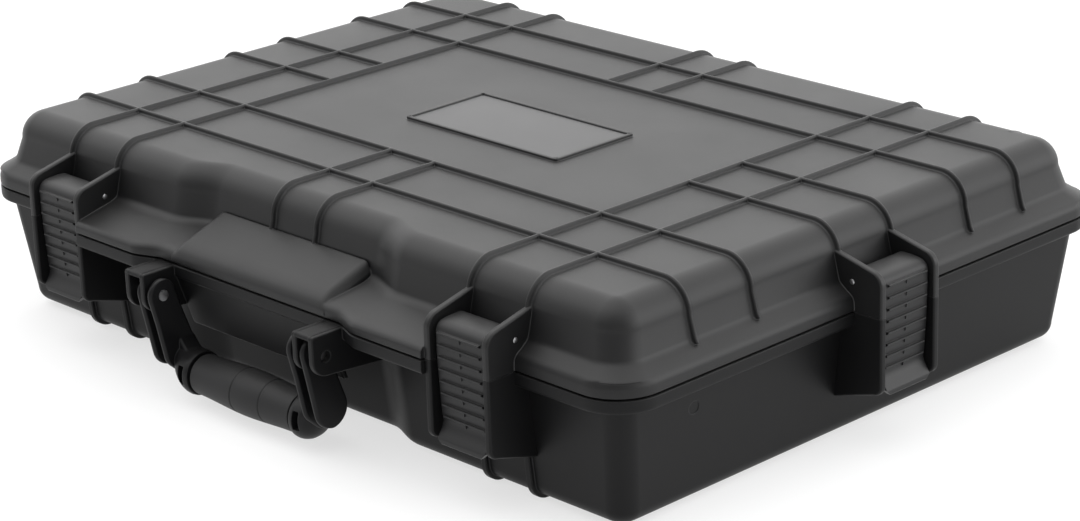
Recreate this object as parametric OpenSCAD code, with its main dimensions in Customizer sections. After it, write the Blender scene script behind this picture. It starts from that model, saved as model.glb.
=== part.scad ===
// Hard tool case: two moulded shells joined at the back by two pinned hinges,
// closed by four latches, carried by a swinging handle and lined with foam.
// The front is -Y, the right end is +X, and the case stands on its foot ribs at Z = 0.

/* [Case] */
// Length over the seam flange
flange_l = 504; // [460:4:600]
// Width over the seam flange
flange_w = 368; // [340:4:440]
// Plan radius of the flange corners
flange_r = 25; // [22:1:40]
// Height of the seam above the ground
seam_z = 74; // [70:1:100]
// Height of the lid's top above the seam
lid_h = 41; // [40:1:60]
// Wall thickness of both shells
wall = 3.5; // [2.5:0.25:5]

/* [Seam] */
// Thickness of the base flange under the seam
base_lip_h = 7.5; // [6:0.5:9]
// Height of the lid's rim at the ends and the back
lid_lip_h = 8.5; // [7.5:0.5:10]
// Half of the open joint line along the seam
seam_relief = 0.5; // [0.3:0.1:0.8]
// Depth of the open joint line
seam_relief_d = 3; // [2:0.5:3.5]
// Half of the gap between the two sealing lands
land_gap = 0.05; // [0.03:0.01:0.15]
// Inset of the seal groove from the flange edge
groove_in = 5.5; // [5:0.5:6]
// Width of the seal groove
groove_w = 5; // [4.5:0.25:6]
// Depth of the seal groove
groove_d = 4; // [3.5:0.25:5]
// Height of the base's sealing tongue
tongue_h = 1.2; // [0.8:0.1:1.4]
// Clearance between tongue and groove wall
tongue_clear = 1; // [0.9:0.1:1.4]

/* [Lid] */
// Inset of the lid wall's foot from the flange edge
lid_foot_in = 9.2; // [8:0.2:12]
// Height of the lid wall's foot above the seam
lid_foot_h = 13; // [12:0.5:15]
// Draft of the lid wall from foot to rounding
lid_draft = 3.6; // [2:0.2:6]
// Radius between lid wall and lid top
lid_round = 15; // [7:0.5:15]
// Plan radius of the lid wall's corners
lid_corner_r = 16; // [15.5:0.5:20]
// Height of the lid ribs
rib_h = 2.4; // [1.5:0.1:3.5]
// Thickness of the lid ribs
rib_t = 2.2; // [1.6:0.1:4]
// Distance of the outer long ribs from the middle
rib_y_outer = 124.5; // [110:0.5:140]
// Distance of the inner long ribs from the middle
rib_y_inner = 81.3; // [60:0.5:100]
// Distance of the short middle ribs from the middle
rib_x_mid = 17; // [10:0.5:40]
// Distance of the ribs beside the hinges from the middle
rib_x_rear = 210; // [190:1:220]

/* [Base] */
// Inset of the base wall's top from the flange edge
base_in = 8.5; // [7:0.5:11]
// Draft of the base wall
base_draft = 6.5; // [4:0.5:8]
// Radius between base wall and base bottom
base_round = 9; // [7:0.5:11]
// Plan radius of the base wall's corners
base_corner_r = 12; // [11.5:0.5:18]
// Height of the foot ribs below the bottom
foot_h = 2.2; // [1.5:0.1:4]
// Thickness of the foot ribs
foot_t = 4; // [3:0.5:8]
// Distance of each foot rib from its latch middle
foot_off = 16; // [10:0.5:20]
// Flat length of each foot rib under the bottom
foot_l = 20; // [10:1:40]
// Height of the foot ribs on the wall
foot_top = 30; // [20:1:34]
// Diameter of the gate dimple in the right end wall
gate_d = 7; // [5:0.5:10]
// Distance from the seam down to the middle of the gate dimple
gate_drop = 20.5; // [16:0.5:26]
// Depth of the gate dimple below the drafted wall
gate_depth = 1.4; // [1:0.1:1.6]

/* [Front] */
// Depth of the recess in the middle of the front wall
front_rec = 8.2; // [4:0.2:10]
// Half width of the recessed middle
mid_half = 62; // [58:1:70]
// Length of the sweep from the middle to the full wall
mid_run = 28; // [20:1:36]
// Reach of the front shelf beside the latches
shelf_out = 19.5; // [14:0.5:22]
// Reach of the front shelf in the middle
shelf_mid = 14; // [10:0.5:16]
// Fall of the rim's upper edge along the shelf
shelf_drop = 3.5; // [1:0.25:4]
// Half width of the raised platform on the shelf
platform_half = 61; // [50:1:61]
// Height of the platform's back edge above the seam
platform_back_h = 21; // [17:0.5:24]
// Height of the platform's front edge above the seam
platform_front_h = 10; // [8:0.5:12]
// Height of the skirt under the handle, down from the seam
skirt_h = 36; // [28:1:40]
// Lean of the skirt's face over its height
skirt_lean = 10.5; // [6:0.5:12]
// Thickness of the skirt
skirt_t = 3; // [2.5:0.25:4]

/* [Latches] */
// Distance of the front latches from the middle
latch_x = 160; // [150:1:180]
// Place of the end latches along the width
latch_y = 2.5; // [-20:0.5:20]
// Distance between the two ear plates of a latch
ear_pitch = 40.5; // [38:0.5:48]
// Thickness of an ear plate
ear_t = 4; // [3:0.25:5]
// Reach of the ear plates beyond the flange edge
ear_out = 17.2; // [16.5:0.1:19]
// Height of the ears' upper edge above the seam, at the lid wall
ear_top_h = 29.5; // [27:0.5:32]
// Fall of the ears' upper edge from the wall to the front corner
ear_fall = 6; // [2:0.5:8]
// Depth of the ears' lower front corner below the seam
ear_low_h = 41; // [38:0.5:44]
// Side clearance between lever and ear on its tight side
lever_side_clear = 1; // [0.6:0.1:1.5]
// Extra clearance on the side that the opening lid swings to
lever_swing_clear = 1; // [0.8:0.1:2]
// Reach of the lever's face beyond the flange edge
lever_out = 14; // [13.5:0.1:15]
// Length of the lever below its pin
lever_l = 58; // [54:0.5:60]
// Thickness of the lever's face
lever_t = 3.6; // [3:0.2:4.5]
// Radius of the lever's barrel
barrel_r = 5; // [4:0.25:5.5]
// Height of the latch pin above the seam
latch_pin_h = 15.6; // [15:0.2:17]
// Inset of the latch pin from the flange edge
latch_pin_in = -1.5; // [-2:0.1:-1]
// Diameter of the latch pins
latch_pin_d = 3; // [2.5:0.1:4]
// Number of ridges on a lever
ridge_n = 8; // [4:1:9]
// Spacing of the ridges
ridge_pitch = 6.25; // [4:0.25:6.25]
// Length of a ridge
ridge_l = 29; // [15:0.5:30]
// Clearance between the lever's nose and the base's catch
nose_clear = 0.3; // [0.2:0.05:0.6]
// Reach of the base's catch beyond the flange edge
catch_out = 4; // [3:0.25:5]
// Height of the catch's middle below the seam
catch_h = 14; // [13:0.5:20]

/* [Handle] */
// Distance of the bracket's inner plate from the middle
bracket_x = 59.5; // [59.5:0.5:64]
// Width of a bracket
bracket_w = 15.8; // [15:0.2:18]
// Thickness of a bracket plate
bracket_t = 3.5; // [3:0.25:4]
// Reach of the brackets beyond the flange edge
bracket_out = 34.5; // [34:0.5:40]
// Depth of the brackets below the seam
bracket_h = 23; // [21:0.5:26]
// Reach of the handle pin beyond the flange edge
handle_pin_out = 26.2; // [26:0.1:27]
// Depth of the handle pin below the seam
handle_pin_drop = 12.6; // [12.4:0.1:13.4]
// Diameter of the handle pins
handle_pin_d = 6; // [4:0.25:7]
// Radius of the arms' eyes on the inner side
eye_r = 8.7; // [8:0.1:10.5]
// Radius of the arms' eyes inside the bracket
eye_slot_r = 8; // [7:0.25:8]
// Thickness of an arm plate
arm_t = 4.7; // [4:0.1:5]
// Clearance between arm plates and bracket plates
arm_clear = 0.6; // [0.4:0.1:0.8]
// Width of the arms seen from the end
arm_w = 18; // [14:0.5:19]
// Radius of the arms' round lower ends
paddle_r = 10.4; // [9:0.1:10.8]
// Depth of the round lower ends' middle below the pin
paddle_drop = 33; // [30:0.5:35]
// Depth of the grip's middle below the pin
grip_drop = 44; // [42:0.5:45]
// Inset of the grip behind the pin
grip_in = 12.7; // [9:0.1:14]
// Length of the grip
grip_l = 80; // [76:1:90]
// Diameter of the grip in the middle
grip_d = 25; // [22:0.5:26]
// Diameter of the grip at its ends
grip_end_d = 22; // [20:0.5:22]
// Diameter of the crossbar inside the grip
bar_d = 12; // [8:0.5:14]

/* [Hinges] */
// Distance of the hinges from the middle
hinge_x = 160; // [140:1:190]
// Reach of the hinge axis beyond the flange edge
hinge_out = 8; // [7.8:0.1:10]
// Depth of the hinge axis below the seam
hinge_drop = 11; // [10:0.5:12]
// Radius of the hinge knuckles
knuckle_r = 6.5; // [6:0.25:6.75]
// Length of a hinge
hinge_l = 40; // [30:1:60]
// Length of the lid's knuckle
hinge_mid_l = 24; // [14:1:26]
// End gap between knuckles
hinge_gap = 0.3; // [0.2:0.05:0.5]
// Diameter of the hinge pins
hinge_pin_d = 4; // [3:0.25:6]

/* [Plate] */
// Length of the name plate's frame
frame_l = 118; // [80:1:140]
// Width of the name plate's frame
frame_w = 59; // [40:1:66]
// Width of the frame's bead
bead_w = 2.4; // [1.5:0.1:4]
// Height of the frame's bead
bead_h = 1.5; // [1:0.1:2.2]
// Thickness of the name plate
plate_t = 0.8; // [0.5:0.1:1]
// Place of the frame along the length
frame_x = 3; // [-20:1:20]
// Place of the frame along the width
frame_y = -7; // [-10:1:10]

/* [Foam] */
// Clearance between foam and shells
foam_gap = 0.3; // [0.2:0.1:0.8]
// Thickness of the foam pad on the floor
pad_t = 10; // [6:0.5:12]
// Thickness of the foam in the lid
lid_foam_t = 28; // [15:1:30]
// Gap between the foam tray's top and the seam
tray_low = 5; // [4:0.5:15]
// Depth of the pockets in the foam tray
pocket_d = 38; // [15:1:40]
// Length of the rear pocket
pocket_rear_l = 380; // [200:5:400]
// Width of the rear pocket
pocket_rear_w = 82; // [50:1:90]
// Length of each front pocket
pocket_front_l = 176; // [100:2:190]
// Width of each front pocket
pocket_front_w = 128; // [80:2:134]
// Width of foam between two pockets
pocket_wall = 26; // [20:1:30]
// Corner radius of the pockets
pocket_r = 12; // [6:1:20]

/* [Fits] */
// Radial clearance of pins in their bores
pin_clear = 0.05; // [0.02:0.01:0.1]

/* [Hidden] */

// Plan outline
half_l = flange_l / 2;
half_w = flange_w / 2;
corner_steps = 8;
arc_steps = 6;
sweep_steps = 7;
// The shelf ends inside the thickness of the inner ear plate.
shelf_end = latch_x - ear_pitch / 2 - ear_t / 2;
shelf_fade = ear_t / 2;

// Heights
lid_top_z = seam_z + lid_h;
lid_wall_in = lid_foot_in + lid_draft;
lid_arc_z = lid_top_z - lid_round;
base_wall_in = base_in + base_draft;
base_arc_z = foot_h + base_round;
floor_z = foot_h + wall;
ceiling_z = lid_top_z - wall;
embed = 1;

// Latch
ear_gap = ear_pitch - ear_t;
lever_w = ear_gap - 2 * lever_side_clear - lever_swing_clear;
lever_shift = lever_swing_clear / 2;
latch_pin_z = seam_z + latch_pin_h;
lever_waist = 30;
ear_round = 8;
ear_low_round = 5;

// Handle
pin_y = -half_w - handle_pin_out;
pin_z = seam_z - handle_pin_drop;
slot_in = bracket_x + bracket_t;
slot_out = bracket_x + bracket_w - bracket_t;
arm_in_x = bracket_x - arm_clear - arm_t;
arm_out_x = slot_in + arm_clear;
grip_z = pin_z - grip_drop;
grip_y = pin_y + grip_in;
arm_reach = 6 * eye_r;
waist_r = arm_w / 2;
waist_mid = [-pin_y - 4, pin_z - 14];
paddle_mid = [-pin_y - 9.3, pin_z - paddle_drop];

// Hinge
hinge_y = half_w + hinge_out;
hinge_z = seam_z - hinge_drop;

// The origin is under the middle of the whole case, handle and hinges included.
front_reach = handle_pin_out + max(eye_r, bracket_out - handle_pin_out);
rear_reach = hinge_out + knuckle_r;
y_shift = (front_reach - rear_reach) / 2;

module placed() translate([0, y_shift, 0]) children();

// ---------- plan outline and lofted shells ----------

function smooth(t) = let(u = min(max(t, 0), 1)) u * u * (3 - 2 * u);

// How far the front shelf stands out at a distance from the middle
function shelf(x) =
    abs(x) >= shelf_end + shelf_fade ? 0 :
    shelf_mid + (shelf_out - shelf_mid) * smooth((abs(x) - mid_half - 8) / (mid_run - 8));

// 1 in the recessed middle of the front wall, 0 at its ends
function recess(x) = 1 - smooth((abs(x) - mid_half) / mid_run);

front_half = concat(
    [for (i = [0:sweep_steps]) mid_half + mid_run * i / sweep_steps],
    [shelf_end, shelf_end + shelf_fade]
);
front_n = len(front_half);
front_x = concat([for (i = [front_n - 1:-1:0]) -front_half[i]], front_half);

// One closed outline: height, inset from the flange edge, share of the shelf,
// share of the recess, fall of the height along the shelf, and corner radius,
// which follows the flange's corners unless it is given
function ring(z, inset, push = 0, rec = 0, drop = 0, corner = undef) =
    let(
        r = is_undef(corner) ? flange_r - inset : corner,
        cx = half_l - inset - r,
        cy = half_w - inset - r
    )
    concat(
        [for (x = front_x) [
            x,
            -(half_w - inset) - push * shelf(x) + rec * front_rec * recess(x),
            z - drop * shelf(x) / shelf_out
        ]],
        [for (q = [0:3], k = [0:corner_steps])
            let(a = 90 * (q - 1) + 90 * k / corner_steps)
            [
                (q == 0 || q == 1 ? cx : -cx) + r * cos(a),
                (q == 1 || q == 2 ? cy : -cy) + r * sin(a),
                z
            ]
        ]
    );

// A closed solid through rings, flat at both ends, with its first ring at an outer end
module loft(rings, upward) {
    n = len(rings[0]);
    m = len(rings);
    centres = [[0, 0, rings[0][0][2]], [0, 0, rings[m - 1][0][2]]];
    sides = [for (i = [0:m - 2], j = [0:n - 1])
        let(a = i * n + j, b = i * n + (j + 1) % n)
        each [[a, b, b + n], [a, b + n, a + n]]];
    first = [for (j = [0:n - 1]) [(j + 1) % n, j, m * n]];
    last = [for (j = [0:n - 1]) [(m - 1) * n + j, (m - 1) * n + (j + 1) % n, m * n + 1]];
    down = concat(sides, first, last);
    faces = upward ? [for (f = down) [f[2], f[1], f[0]]] : down;
    polyhedron(concat([for (r = rings) each r], centres), faces, convexity = 10);
}

// A flat block that follows the inside of the walls
module liner(z, inset, corner, height)
    translate([0, 0, z])
        linear_extrude(height)
            polygon([for (p = ring(0, inset, 0, 1, 0, corner)) [p[0], p[1]]]);

// ---------- sections ----------

// Outer section of the lid from the wall's foot to the edge of the flat top,
// as distance from the middle and height, moved outward by off
function lid_path(half, off) = concat(
    [[half - lid_foot_in + off, seam_z + lid_foot_h]],
    [for (k = [0:arc_steps])
        let(a = 90 * k / arc_steps)
        [
            half - lid_wall_in - lid_round + (lid_round + off) * cos(a),
            lid_arc_z + (lid_round + off) * sin(a)
        ]
    ]
);

// Outer section of the base from a height on the wall to the edge of the flat bottom
function base_path(half, off, top) =
    let(t = (top - base_arc_z) / (seam_z - base_lip_h - base_arc_z))
    concat(
        [[half - base_wall_in + base_draft * t + off, top]],
        [for (k = [0:arc_steps])
            let(a = 90 * k / arc_steps)
            [
                half - base_wall_in - base_round + (base_round + off) * cos(a),
                base_arc_z - (base_round + off) * sin(a)
            ]
        ]
    );

function reversed(v) = [for (i = [len(v) - 1:-1:0]) v[i]];
function mirrored(v) = [for (p = v) [-p[0], p[1]]];

// Extrudes a section drawn as distance and height, with its thickness along Y
module slab(t) rotate([90, 0, 0]) linear_extrude(t, center = true) children();

// Turns a slab drawn outward along X to point at an angle in plan
module facing(a) rotate([0, 0, a]) children();

// A rib over the whole section of the lid, between two half widths
module lid_rib_full(rear, front) {
    outer = concat(lid_path(rear, rib_h), reversed(mirrored(lid_path(front, rib_h))));
    inner = concat(lid_path(rear, -embed), reversed(mirrored(lid_path(front, -embed))));
    slab(rib_t) polygon(concat(outer, reversed(inner)));
}

// A rib from one edge of the lid to a stop measured from the middle
module lid_rib_part(half, stop) {
    outer = concat(lid_path(half, rib_h), [[stop, lid_top_z + rib_h]]);
    inner = concat(lid_path(half, -embed), [[stop, lid_top_z - embed]]);
    slab(rib_t) polygon(concat(outer, reversed(inner)));
}

// A rib on the rear wall that fades out over the rounding
module lid_rib_rear() {
    centre = [half_w - lid_wall_in - lid_round, lid_arc_z];
    crest = [for (k = [0:arc_steps])
        let(a = 90 * k / arc_steps)
        centre + (lid_round + rib_h * cos(a)) * [cos(a), sin(a)]];
    slab(rib_t) polygon(concat(
        [[half_w - lid_foot_in + rib_h, seam_z + lid_foot_h]],
        crest,
        reversed(lid_path(half_w, -embed))
    ));
}

module lid_ribs() {
    rib_xs = [for (s = [-1, 1], e = [-1, 1]) s * latch_x + e * ear_pitch / 2];
    for (x = rib_xs) translate([x, 0, 0]) facing(90) lid_rib_full(half_w, half_w);
    for (y = [-rib_y_outer, -rib_y_inner, rib_y_inner, rib_y_outer])
        translate([0, y, 0]) lid_rib_full(half_l, half_l);
    for (x = [-rib_x_mid, rib_x_mid]) translate([x, 0, 0]) {
        facing(-90) lid_rib_part(half_w - front_rec, rib_y_inner);
        facing(90) lid_rib_part(half_w, rib_y_inner);
    }
    for (e = [-1, 1], a = [0, 180]) translate([0, latch_y + e * ear_pitch / 2, 0])
        facing(a) lid_rib_part(half_l, latch_x - ear_pitch / 2);
    for (s = [-1, 1]) translate([s * rib_x_rear, 0, 0]) facing(90) lid_rib_rear();
}

// ---------- latch stations ----------

// Puts a latch drawn at the middle of the flange's right edge at its station:
// 0 and 1 are the front left and right, 2 and 3 are the left and right ends
module at_station(k) {
    if (k < 2) translate([(k == 0 ? -1 : 1) * latch_x, -half_w, 0]) facing(-90) children();
    else if (k == 2) translate([-half_l, latch_y, 0]) facing(180) children();
    else translate([half_l, latch_y, 0]) children();
}

// The levers at the two ends stand off-centre, away from the swing of the opening lid.
function shift_at(k) = k == 3 ? lever_shift : k == 2 ? -lever_shift : 0;

module lid_ear() {
    top = seam_z + ear_top_h;
    t = (top - seam_z - lid_foot_h) / (lid_arc_z - seam_z - lid_foot_h);
    back = -lid_foot_in - lid_draft * min(t, 1) - embed;
    bottom = seam_z + seam_relief / 2;
    lean = atan(ear_fall / (ear_out - ear_round - back));
    corner_z = top - ear_fall - ear_round * cos(lean);
    corner = [for (k = [0:arc_steps])
        let(a = (90 - lean) * k / arc_steps)
        [ear_out - ear_round + ear_round * cos(a), corner_z + ear_round * sin(a)]];
    slab(ear_t) polygon(concat(
        [[-groove_in + embed, bottom], [ear_out, bottom]],
        corner,
        [[back, top], [-lid_foot_in - embed, seam_z + lid_foot_h], [-groove_in, seam_z + lid_lip_h]]
    ));
}

module base_ear() {
    top = seam_z - seam_relief / 2;
    low = seam_z - ear_low_h;
    wall_low = low - 7.5;
    t = (wall_low - base_arc_z) / (seam_z - base_lip_h - base_arc_z);
    corner = [for (k = [0:arc_steps])
        let(a = -90 * k / arc_steps)
        [
            ear_out - ear_low_round + ear_low_round * cos(a),
            low + ear_low_round + ear_low_round * sin(a)
        ]];
    slab(ear_t) polygon(concat(
        [[-base_in - embed, top - base_lip_h], [-groove_in + embed, top], [ear_out, top]],
        corner,
        [[-base_wall_in + base_draft * t - embed, wall_low]]
    ));
}

module ears() for (e = [-1, 1]) translate([0, e * ear_pitch / 2, 0]) children();

// The bar between two base ears that a lever's nose closes on
module catch_bar() {
    z = seam_z - catch_h;
    slab(ear_gap + embed) polygon([
        [-base_in - 2, z + 5],
        [catch_out - 1, z + 4],
        [catch_out, z + 3],
        [catch_out, z - 3],
        [catch_out - 1, z - 4],
        [-base_in - 2, z - 8]
    ]);
}

// Section of a lever, from its pin: outward, and down to its lip
module lever_section() {
    face = lever_out - latch_pin_in;
    back = face - lever_t;
    nose = catch_out + nose_clear - latch_pin_in;
    nose_z = latch_pin_h + catch_h;
    circle(barrel_r, $fn = 64);
    polygon([
        [0, barrel_r],
        [face - 6, 3],
        [face - 1.6, 2.4],
        [face - 0.4, 1.4],
        [face, 0],
        [face, -12],
        [face - 0.8, -lever_waist],
        [face - 1.8, -lever_l + 15],
        [face - 1.2, -lever_l + 9],
        [face + 1.6, -lever_l + 5],
        [face + 2, -lever_l],
        [face - 0.5, -lever_l],
        [back - 0.6, -lever_l + 8],
        [back - 1.4, -nose_z - 3.5],
        [nose + 0.6, -nose_z - 3.5],
        [nose, -nose_z - 2.5],
        [nose, -nose_z + 1.5],
        [back - 0.4, -nose_z + 4.5],
        [back, -9],
        [back - 3, -5],
        [0, -barrel_r]
    ]);
}

module lever(k) {
    face = lever_out - latch_pin_in;
    lip_cut = 2.5;
    color("#3c3c3e")
    placed() at_station(k)
        translate([latch_pin_in, shift_at(k), latch_pin_z])
            difference() {
                union() {
                    slab(lever_w) lever_section();
                    for (i = [0:ridge_n - 1])
                        translate([face, 0, -0.8 - i * ridge_pitch])
                            slab(ridge_l) polygon([
                                [-3, 0.9],
                                [0.5 - 1.8 * i / ridge_n, 0.6],
                                [0.5 - 1.8 * i / ridge_n, -0.6],
                                [-3, -0.9]
                            ]);
                }
                rotate([90, 0, 0])
                    cylinder(
                        h = lever_w + 2, r = latch_pin_d / 2 + pin_clear,
                        center = true, $fn = 48
                    );
                for (e = [-1, 1])
                    translate([face, e * lever_w / 2, -lever_l])
                        rotate([45, 0, 0])
                            cube([14, lip_cut * sqrt(2), lip_cut * sqrt(2)], center = true);
            }
}

module latch_pin(k) {
    color("#b4b4b8")
    placed() at_station(k)
        translate([latch_pin_in, 0, latch_pin_z])
            rotate([90, 0, 0])
                cylinder(
                    h = ear_pitch + ear_t - 0.4, d = latch_pin_d,
                    center = true, $fn = 48
                );
}

// ---------- hinges ----------

module at_hinges() for (s = [-1, 1]) translate([s * hinge_x, half_w, 0]) facing(90) children();

// A round knuckle and its web, drawn outward from the flange edge
module knuckle(length, web)
    slab(length) {
        translate([hinge_out, hinge_z]) circle(knuckle_r, $fn = 64);
        polygon(web);
    }

module hinge_bore(length)
    translate([hinge_out, 0, hinge_z])
        rotate([90, 0, 0])
            cylinder(h = length, r = hinge_pin_d / 2 + pin_clear, center = true, $fn = 48);

module lid_knuckles()
    at_hinges()
        difference() {
            knuckle(hinge_mid_l, [
                [-groove_in + 1, seam_z + seam_relief + 0.2],
                [hinge_out - knuckle_r - 0.4, seam_z + seam_relief + 0.2],
                [hinge_out - knuckle_r, hinge_z],
                [hinge_out + knuckle_r, hinge_z],
                [hinge_out - 0.5, seam_z + 4],
                [-1, seam_z + lid_lip_h - 1.5],
                [-groove_in + 1, seam_z + lid_lip_h - 2]
            ]);
            hinge_bore(hinge_mid_l + 2);
        }

module base_knuckles() {
    side_l = (hinge_l - hinge_mid_l) / 2 - hinge_gap;
    at_hinges()
        difference() {
            for (e = [-1, 1])
                translate([0, e * (hinge_l - side_l) / 2, 0])
                    knuckle(side_l, [
                        [-base_in - 1.5, hinge_z - 12],
                        [hinge_out - 2, hinge_z - knuckle_r + 0.2],
                        [hinge_out, hinge_z],
                        [hinge_out - 2, hinge_z + knuckle_r - 0.2],
                        [-2, seam_z - base_lip_h + 2],
                        [-base_in - 1.5, seam_z - base_lip_h + 2]
                    ]);
            hinge_bore(hinge_l + 2);
        }
}

module hinge_pin(s) {
    color("#b4b4b8")
    placed() translate([s * hinge_x, hinge_y, hinge_z])
        rotate([0, 90, 0])
            cylinder(h = hinge_l, d = hinge_pin_d, center = true, $fn = 48);
}

// ---------- shells ----------

module lid_body() {
    low = seam_z + land_gap;
    open = seam_z + seam_relief;
    groove_out = groove_in + groove_w;
    rings = concat(
        [for (k = [arc_steps:-1:0])
            let(a = 90 * k / arc_steps)
            ring(
                lid_arc_z + lid_round * sin(a),
                lid_wall_in + lid_round * (1 - cos(a)), 0, 1, 0,
                lid_corner_r - lid_round * (1 - cos(a))
            )
        ],
        [
            ring(seam_z + lid_foot_h + 1.5, lid_foot_in + 0.6, 0, 1, 0, lid_corner_r),
            ring(seam_z + lid_foot_h, lid_foot_in - 0.4, 0.03, 0.97, 0.1, lid_corner_r),
            ring(seam_z + lid_lip_h + 1.3, 4.5, 0.96, 0, shelf_drop + 0.4, lid_corner_r + 1.5),
            ring(seam_z + lid_lip_h, 2, 1, 0, shelf_drop, lid_corner_r + 3),
            ring(seam_z + lid_lip_h - 1.2, 0.8, 1, 0, shelf_drop - 0.2),
            ring(open + 0.5, 0, 1),
            ring(open, 0.5, 1),
            ring(open, seam_relief_d - 0.4, 1),
            ring(low, seam_relief_d, 1),
            ring(low, groove_in),
            ring(seam_z + groove_d, groove_in),
            ring(seam_z + groove_d, groove_out),
            ring(low, groove_out),
            ring(low, lid_foot_in + wall, 0, 1),
            ring(seam_z + 1, lid_foot_in + wall + 0.5, 0, 1, 0, lid_corner_r - wall),
            ring(
                seam_z + lid_foot_h + 1.5, lid_foot_in + wall + 0.6, 0, 1, 0,
                lid_corner_r - wall
            )
        ],
        [for (k = [0:arc_steps])
            let(a = 90 * k / arc_steps, r = lid_round - wall)
            ring(
                lid_arc_z + r * sin(a), lid_wall_in + lid_round - r * cos(a), 0, 1, 0,
                lid_corner_r - lid_round + r * cos(a)
            )
        ]
    );
    loft(rings, false);
}

// The raised trapezoid on the front shelf
module platform() {
    back = half_w - lid_foot_in - front_rec - embed;
    front = half_w + shelf_mid - 2;
    facing(-90)
        slab(2 * platform_half) polygon([
            [back, seam_z + lid_foot_h - 2],
            [back, seam_z + platform_back_h],
            [front, seam_z + platform_front_h],
            [front + 1.3, seam_z + platform_front_h - 1.2],
            [front + 1.6, seam_z + lid_lip_h - shelf_drop],
            [front - 6, seam_z + lid_lip_h - shelf_drop - 1]
        ]);
}

module plate_frame()
    translate([frame_x, frame_y, lid_top_z - embed])
        linear_extrude(bead_h + embed)
            difference() {
                square([frame_l, frame_w], center = true);
                square([frame_l - 2 * bead_w, frame_w - 2 * bead_w], center = true);
            }

module lid_shell() {
    color("#58585a")
    placed()
        difference() {
            union() {
                lid_body();
                lid_ribs();
                platform();
                plate_frame();
                for (k = [0:3]) at_station(k) ears() lid_ear();
                lid_knuckles();
            }
            for (k = [0:3])
                at_station(k)
                    translate([latch_pin_in, 0, latch_pin_z])
                        rotate([90, 0, 0])
                            cylinder(
                                h = ear_pitch + ear_t + 2, r = latch_pin_d / 2 + pin_clear,
                                center = true, $fn = 48
                            );
        }
}

module base_body() {
    high = seam_z - land_gap;
    open = seam_z - seam_relief;
    lip_z = seam_z - base_lip_h;
    tongue_in = groove_in + tongue_clear;
    tongue_out = groove_in + groove_w - tongue_clear;
    rings = concat(
        [for (k = [arc_steps:-1:0])
            let(a = 90 * k / arc_steps)
            ring(
                base_arc_z - base_round * sin(a),
                base_wall_in + base_round * (1 - cos(a)), 0, 1, 0,
                base_corner_r - base_round * (1 - cos(a))
            )
        ],
        [
            ring(lip_z - 0.8, base_in, 0, 1, 0, base_corner_r),
            ring(lip_z, 1.2, 1),
            ring(lip_z + 0.8, 0.4, 1),
            ring(open - 0.5, 0, 1),
            ring(open, 0.5, 1),
            ring(open, seam_relief_d - 0.4, 1),
            ring(high, seam_relief_d, 1),
            ring(high, tongue_in),
            ring(seam_z + tongue_h, tongue_in + 0.1),
            ring(seam_z + tongue_h, tongue_out - 0.1),
            ring(high, tongue_out),
            ring(high, base_in + wall - 0.4, 0, 1),
            ring(open, base_in + wall, 0, 1, 0, base_corner_r - wall)
        ],
        [for (k = [0:arc_steps])
            let(a = 90 * k / arc_steps, r = base_round - wall)
            ring(
                base_arc_z - r * sin(a), base_wall_in + base_round - r * cos(a), 0, 1, 0,
                base_corner_r - base_round + r * cos(a)
            )
        ]
    );
    loft(rings, true);
}

// A rib that runs down the wall and under the bottom, where the case stands on it
module foot_rib() {
    stop = half_w - base_wall_in - base_round - foot_l;
    outer = concat(base_path(half_w, foot_h, foot_top), [[stop, 0]]);
    inner = concat(base_path(half_w, -embed, foot_top), [[stop, foot_h + embed]]);
    slab(foot_t) polygon(concat(outer, reversed(inner)));
}

module foot_ribs()
    for (s = [-1, 1], e = [-1, 1], a = [-90, 90])
        translate([s * latch_x + e * foot_off, 0, 0]) facing(a) foot_rib();

// The leaning face between the handle brackets, hollow behind
module skirt() {
    top = seam_z - base_lip_h + 2;
    low = seam_z - skirt_h;
    face = half_w + shelf_mid - 0.5;
    facing(-90)
        slab(2 * bracket_x + 2 * embed) polygon([
            [face, top],
            [face - skirt_lean, low],
            [face - skirt_lean - skirt_t, low],
            [face - skirt_t, top]
        ]);
}

// Section of a bracket plate, as distance from the middle and height
module bracket_section() {
    out = half_w + bracket_out;
    top = seam_z - seam_relief - 0.2;
    low = seam_z - bracket_h;
    round_r = 9;
    back = half_w - base_in - front_rec - embed;
    corner = [for (k = [0:arc_steps])
        let(a = -90 * k / arc_steps)
        [out - round_r + round_r * cos(a), low + round_r + round_r * sin(a)]];
    polygon(concat(
        [[out - 1, top], [out, top - 1]],
        corner,
        [[back, low - 3], [back, seam_z - base_lip_h], [half_w, seam_z - base_lip_h], [half_w, top]]
    ));
}

module handle_brackets() {
    out = half_w + bracket_out;
    top = seam_z - seam_relief - 0.2;
    roof = top - 3;
    web = half_w + shelf_mid;
    for (s = [-1, 1])
        difference() {
            union() {
                for (x = [bracket_x, slot_out])
                    translate([s * (x + bracket_t / 2), 0, 0])
                        facing(-90) slab(bracket_t) bracket_section();
                translate([s * (slot_in + slot_out) / 2, 0, 0])
                    facing(-90) slab(slot_out - slot_in + embed) {
                        polygon([
                            [half_w + 2, roof], [out - 1, roof], [out, roof + 1],
                            [out, top - 1], [out - 1, top], [half_w + 2, top]
                        ]);
                        polygon([
                            [web - 4, seam_z - bracket_h], [web - 1, seam_z - bracket_h],
                            [web, seam_z - base_lip_h + 1], [web - 3, seam_z - base_lip_h + 1]
                        ]);
                    }
            }
            translate([s * (bracket_x - 1), pin_y, pin_z])
                rotate([0, s * 90, 0])
                    cylinder(
                        h = bracket_w + 2, r = handle_pin_d / 2 + pin_clear, $fn = 64
                    );
        }
}

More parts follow.
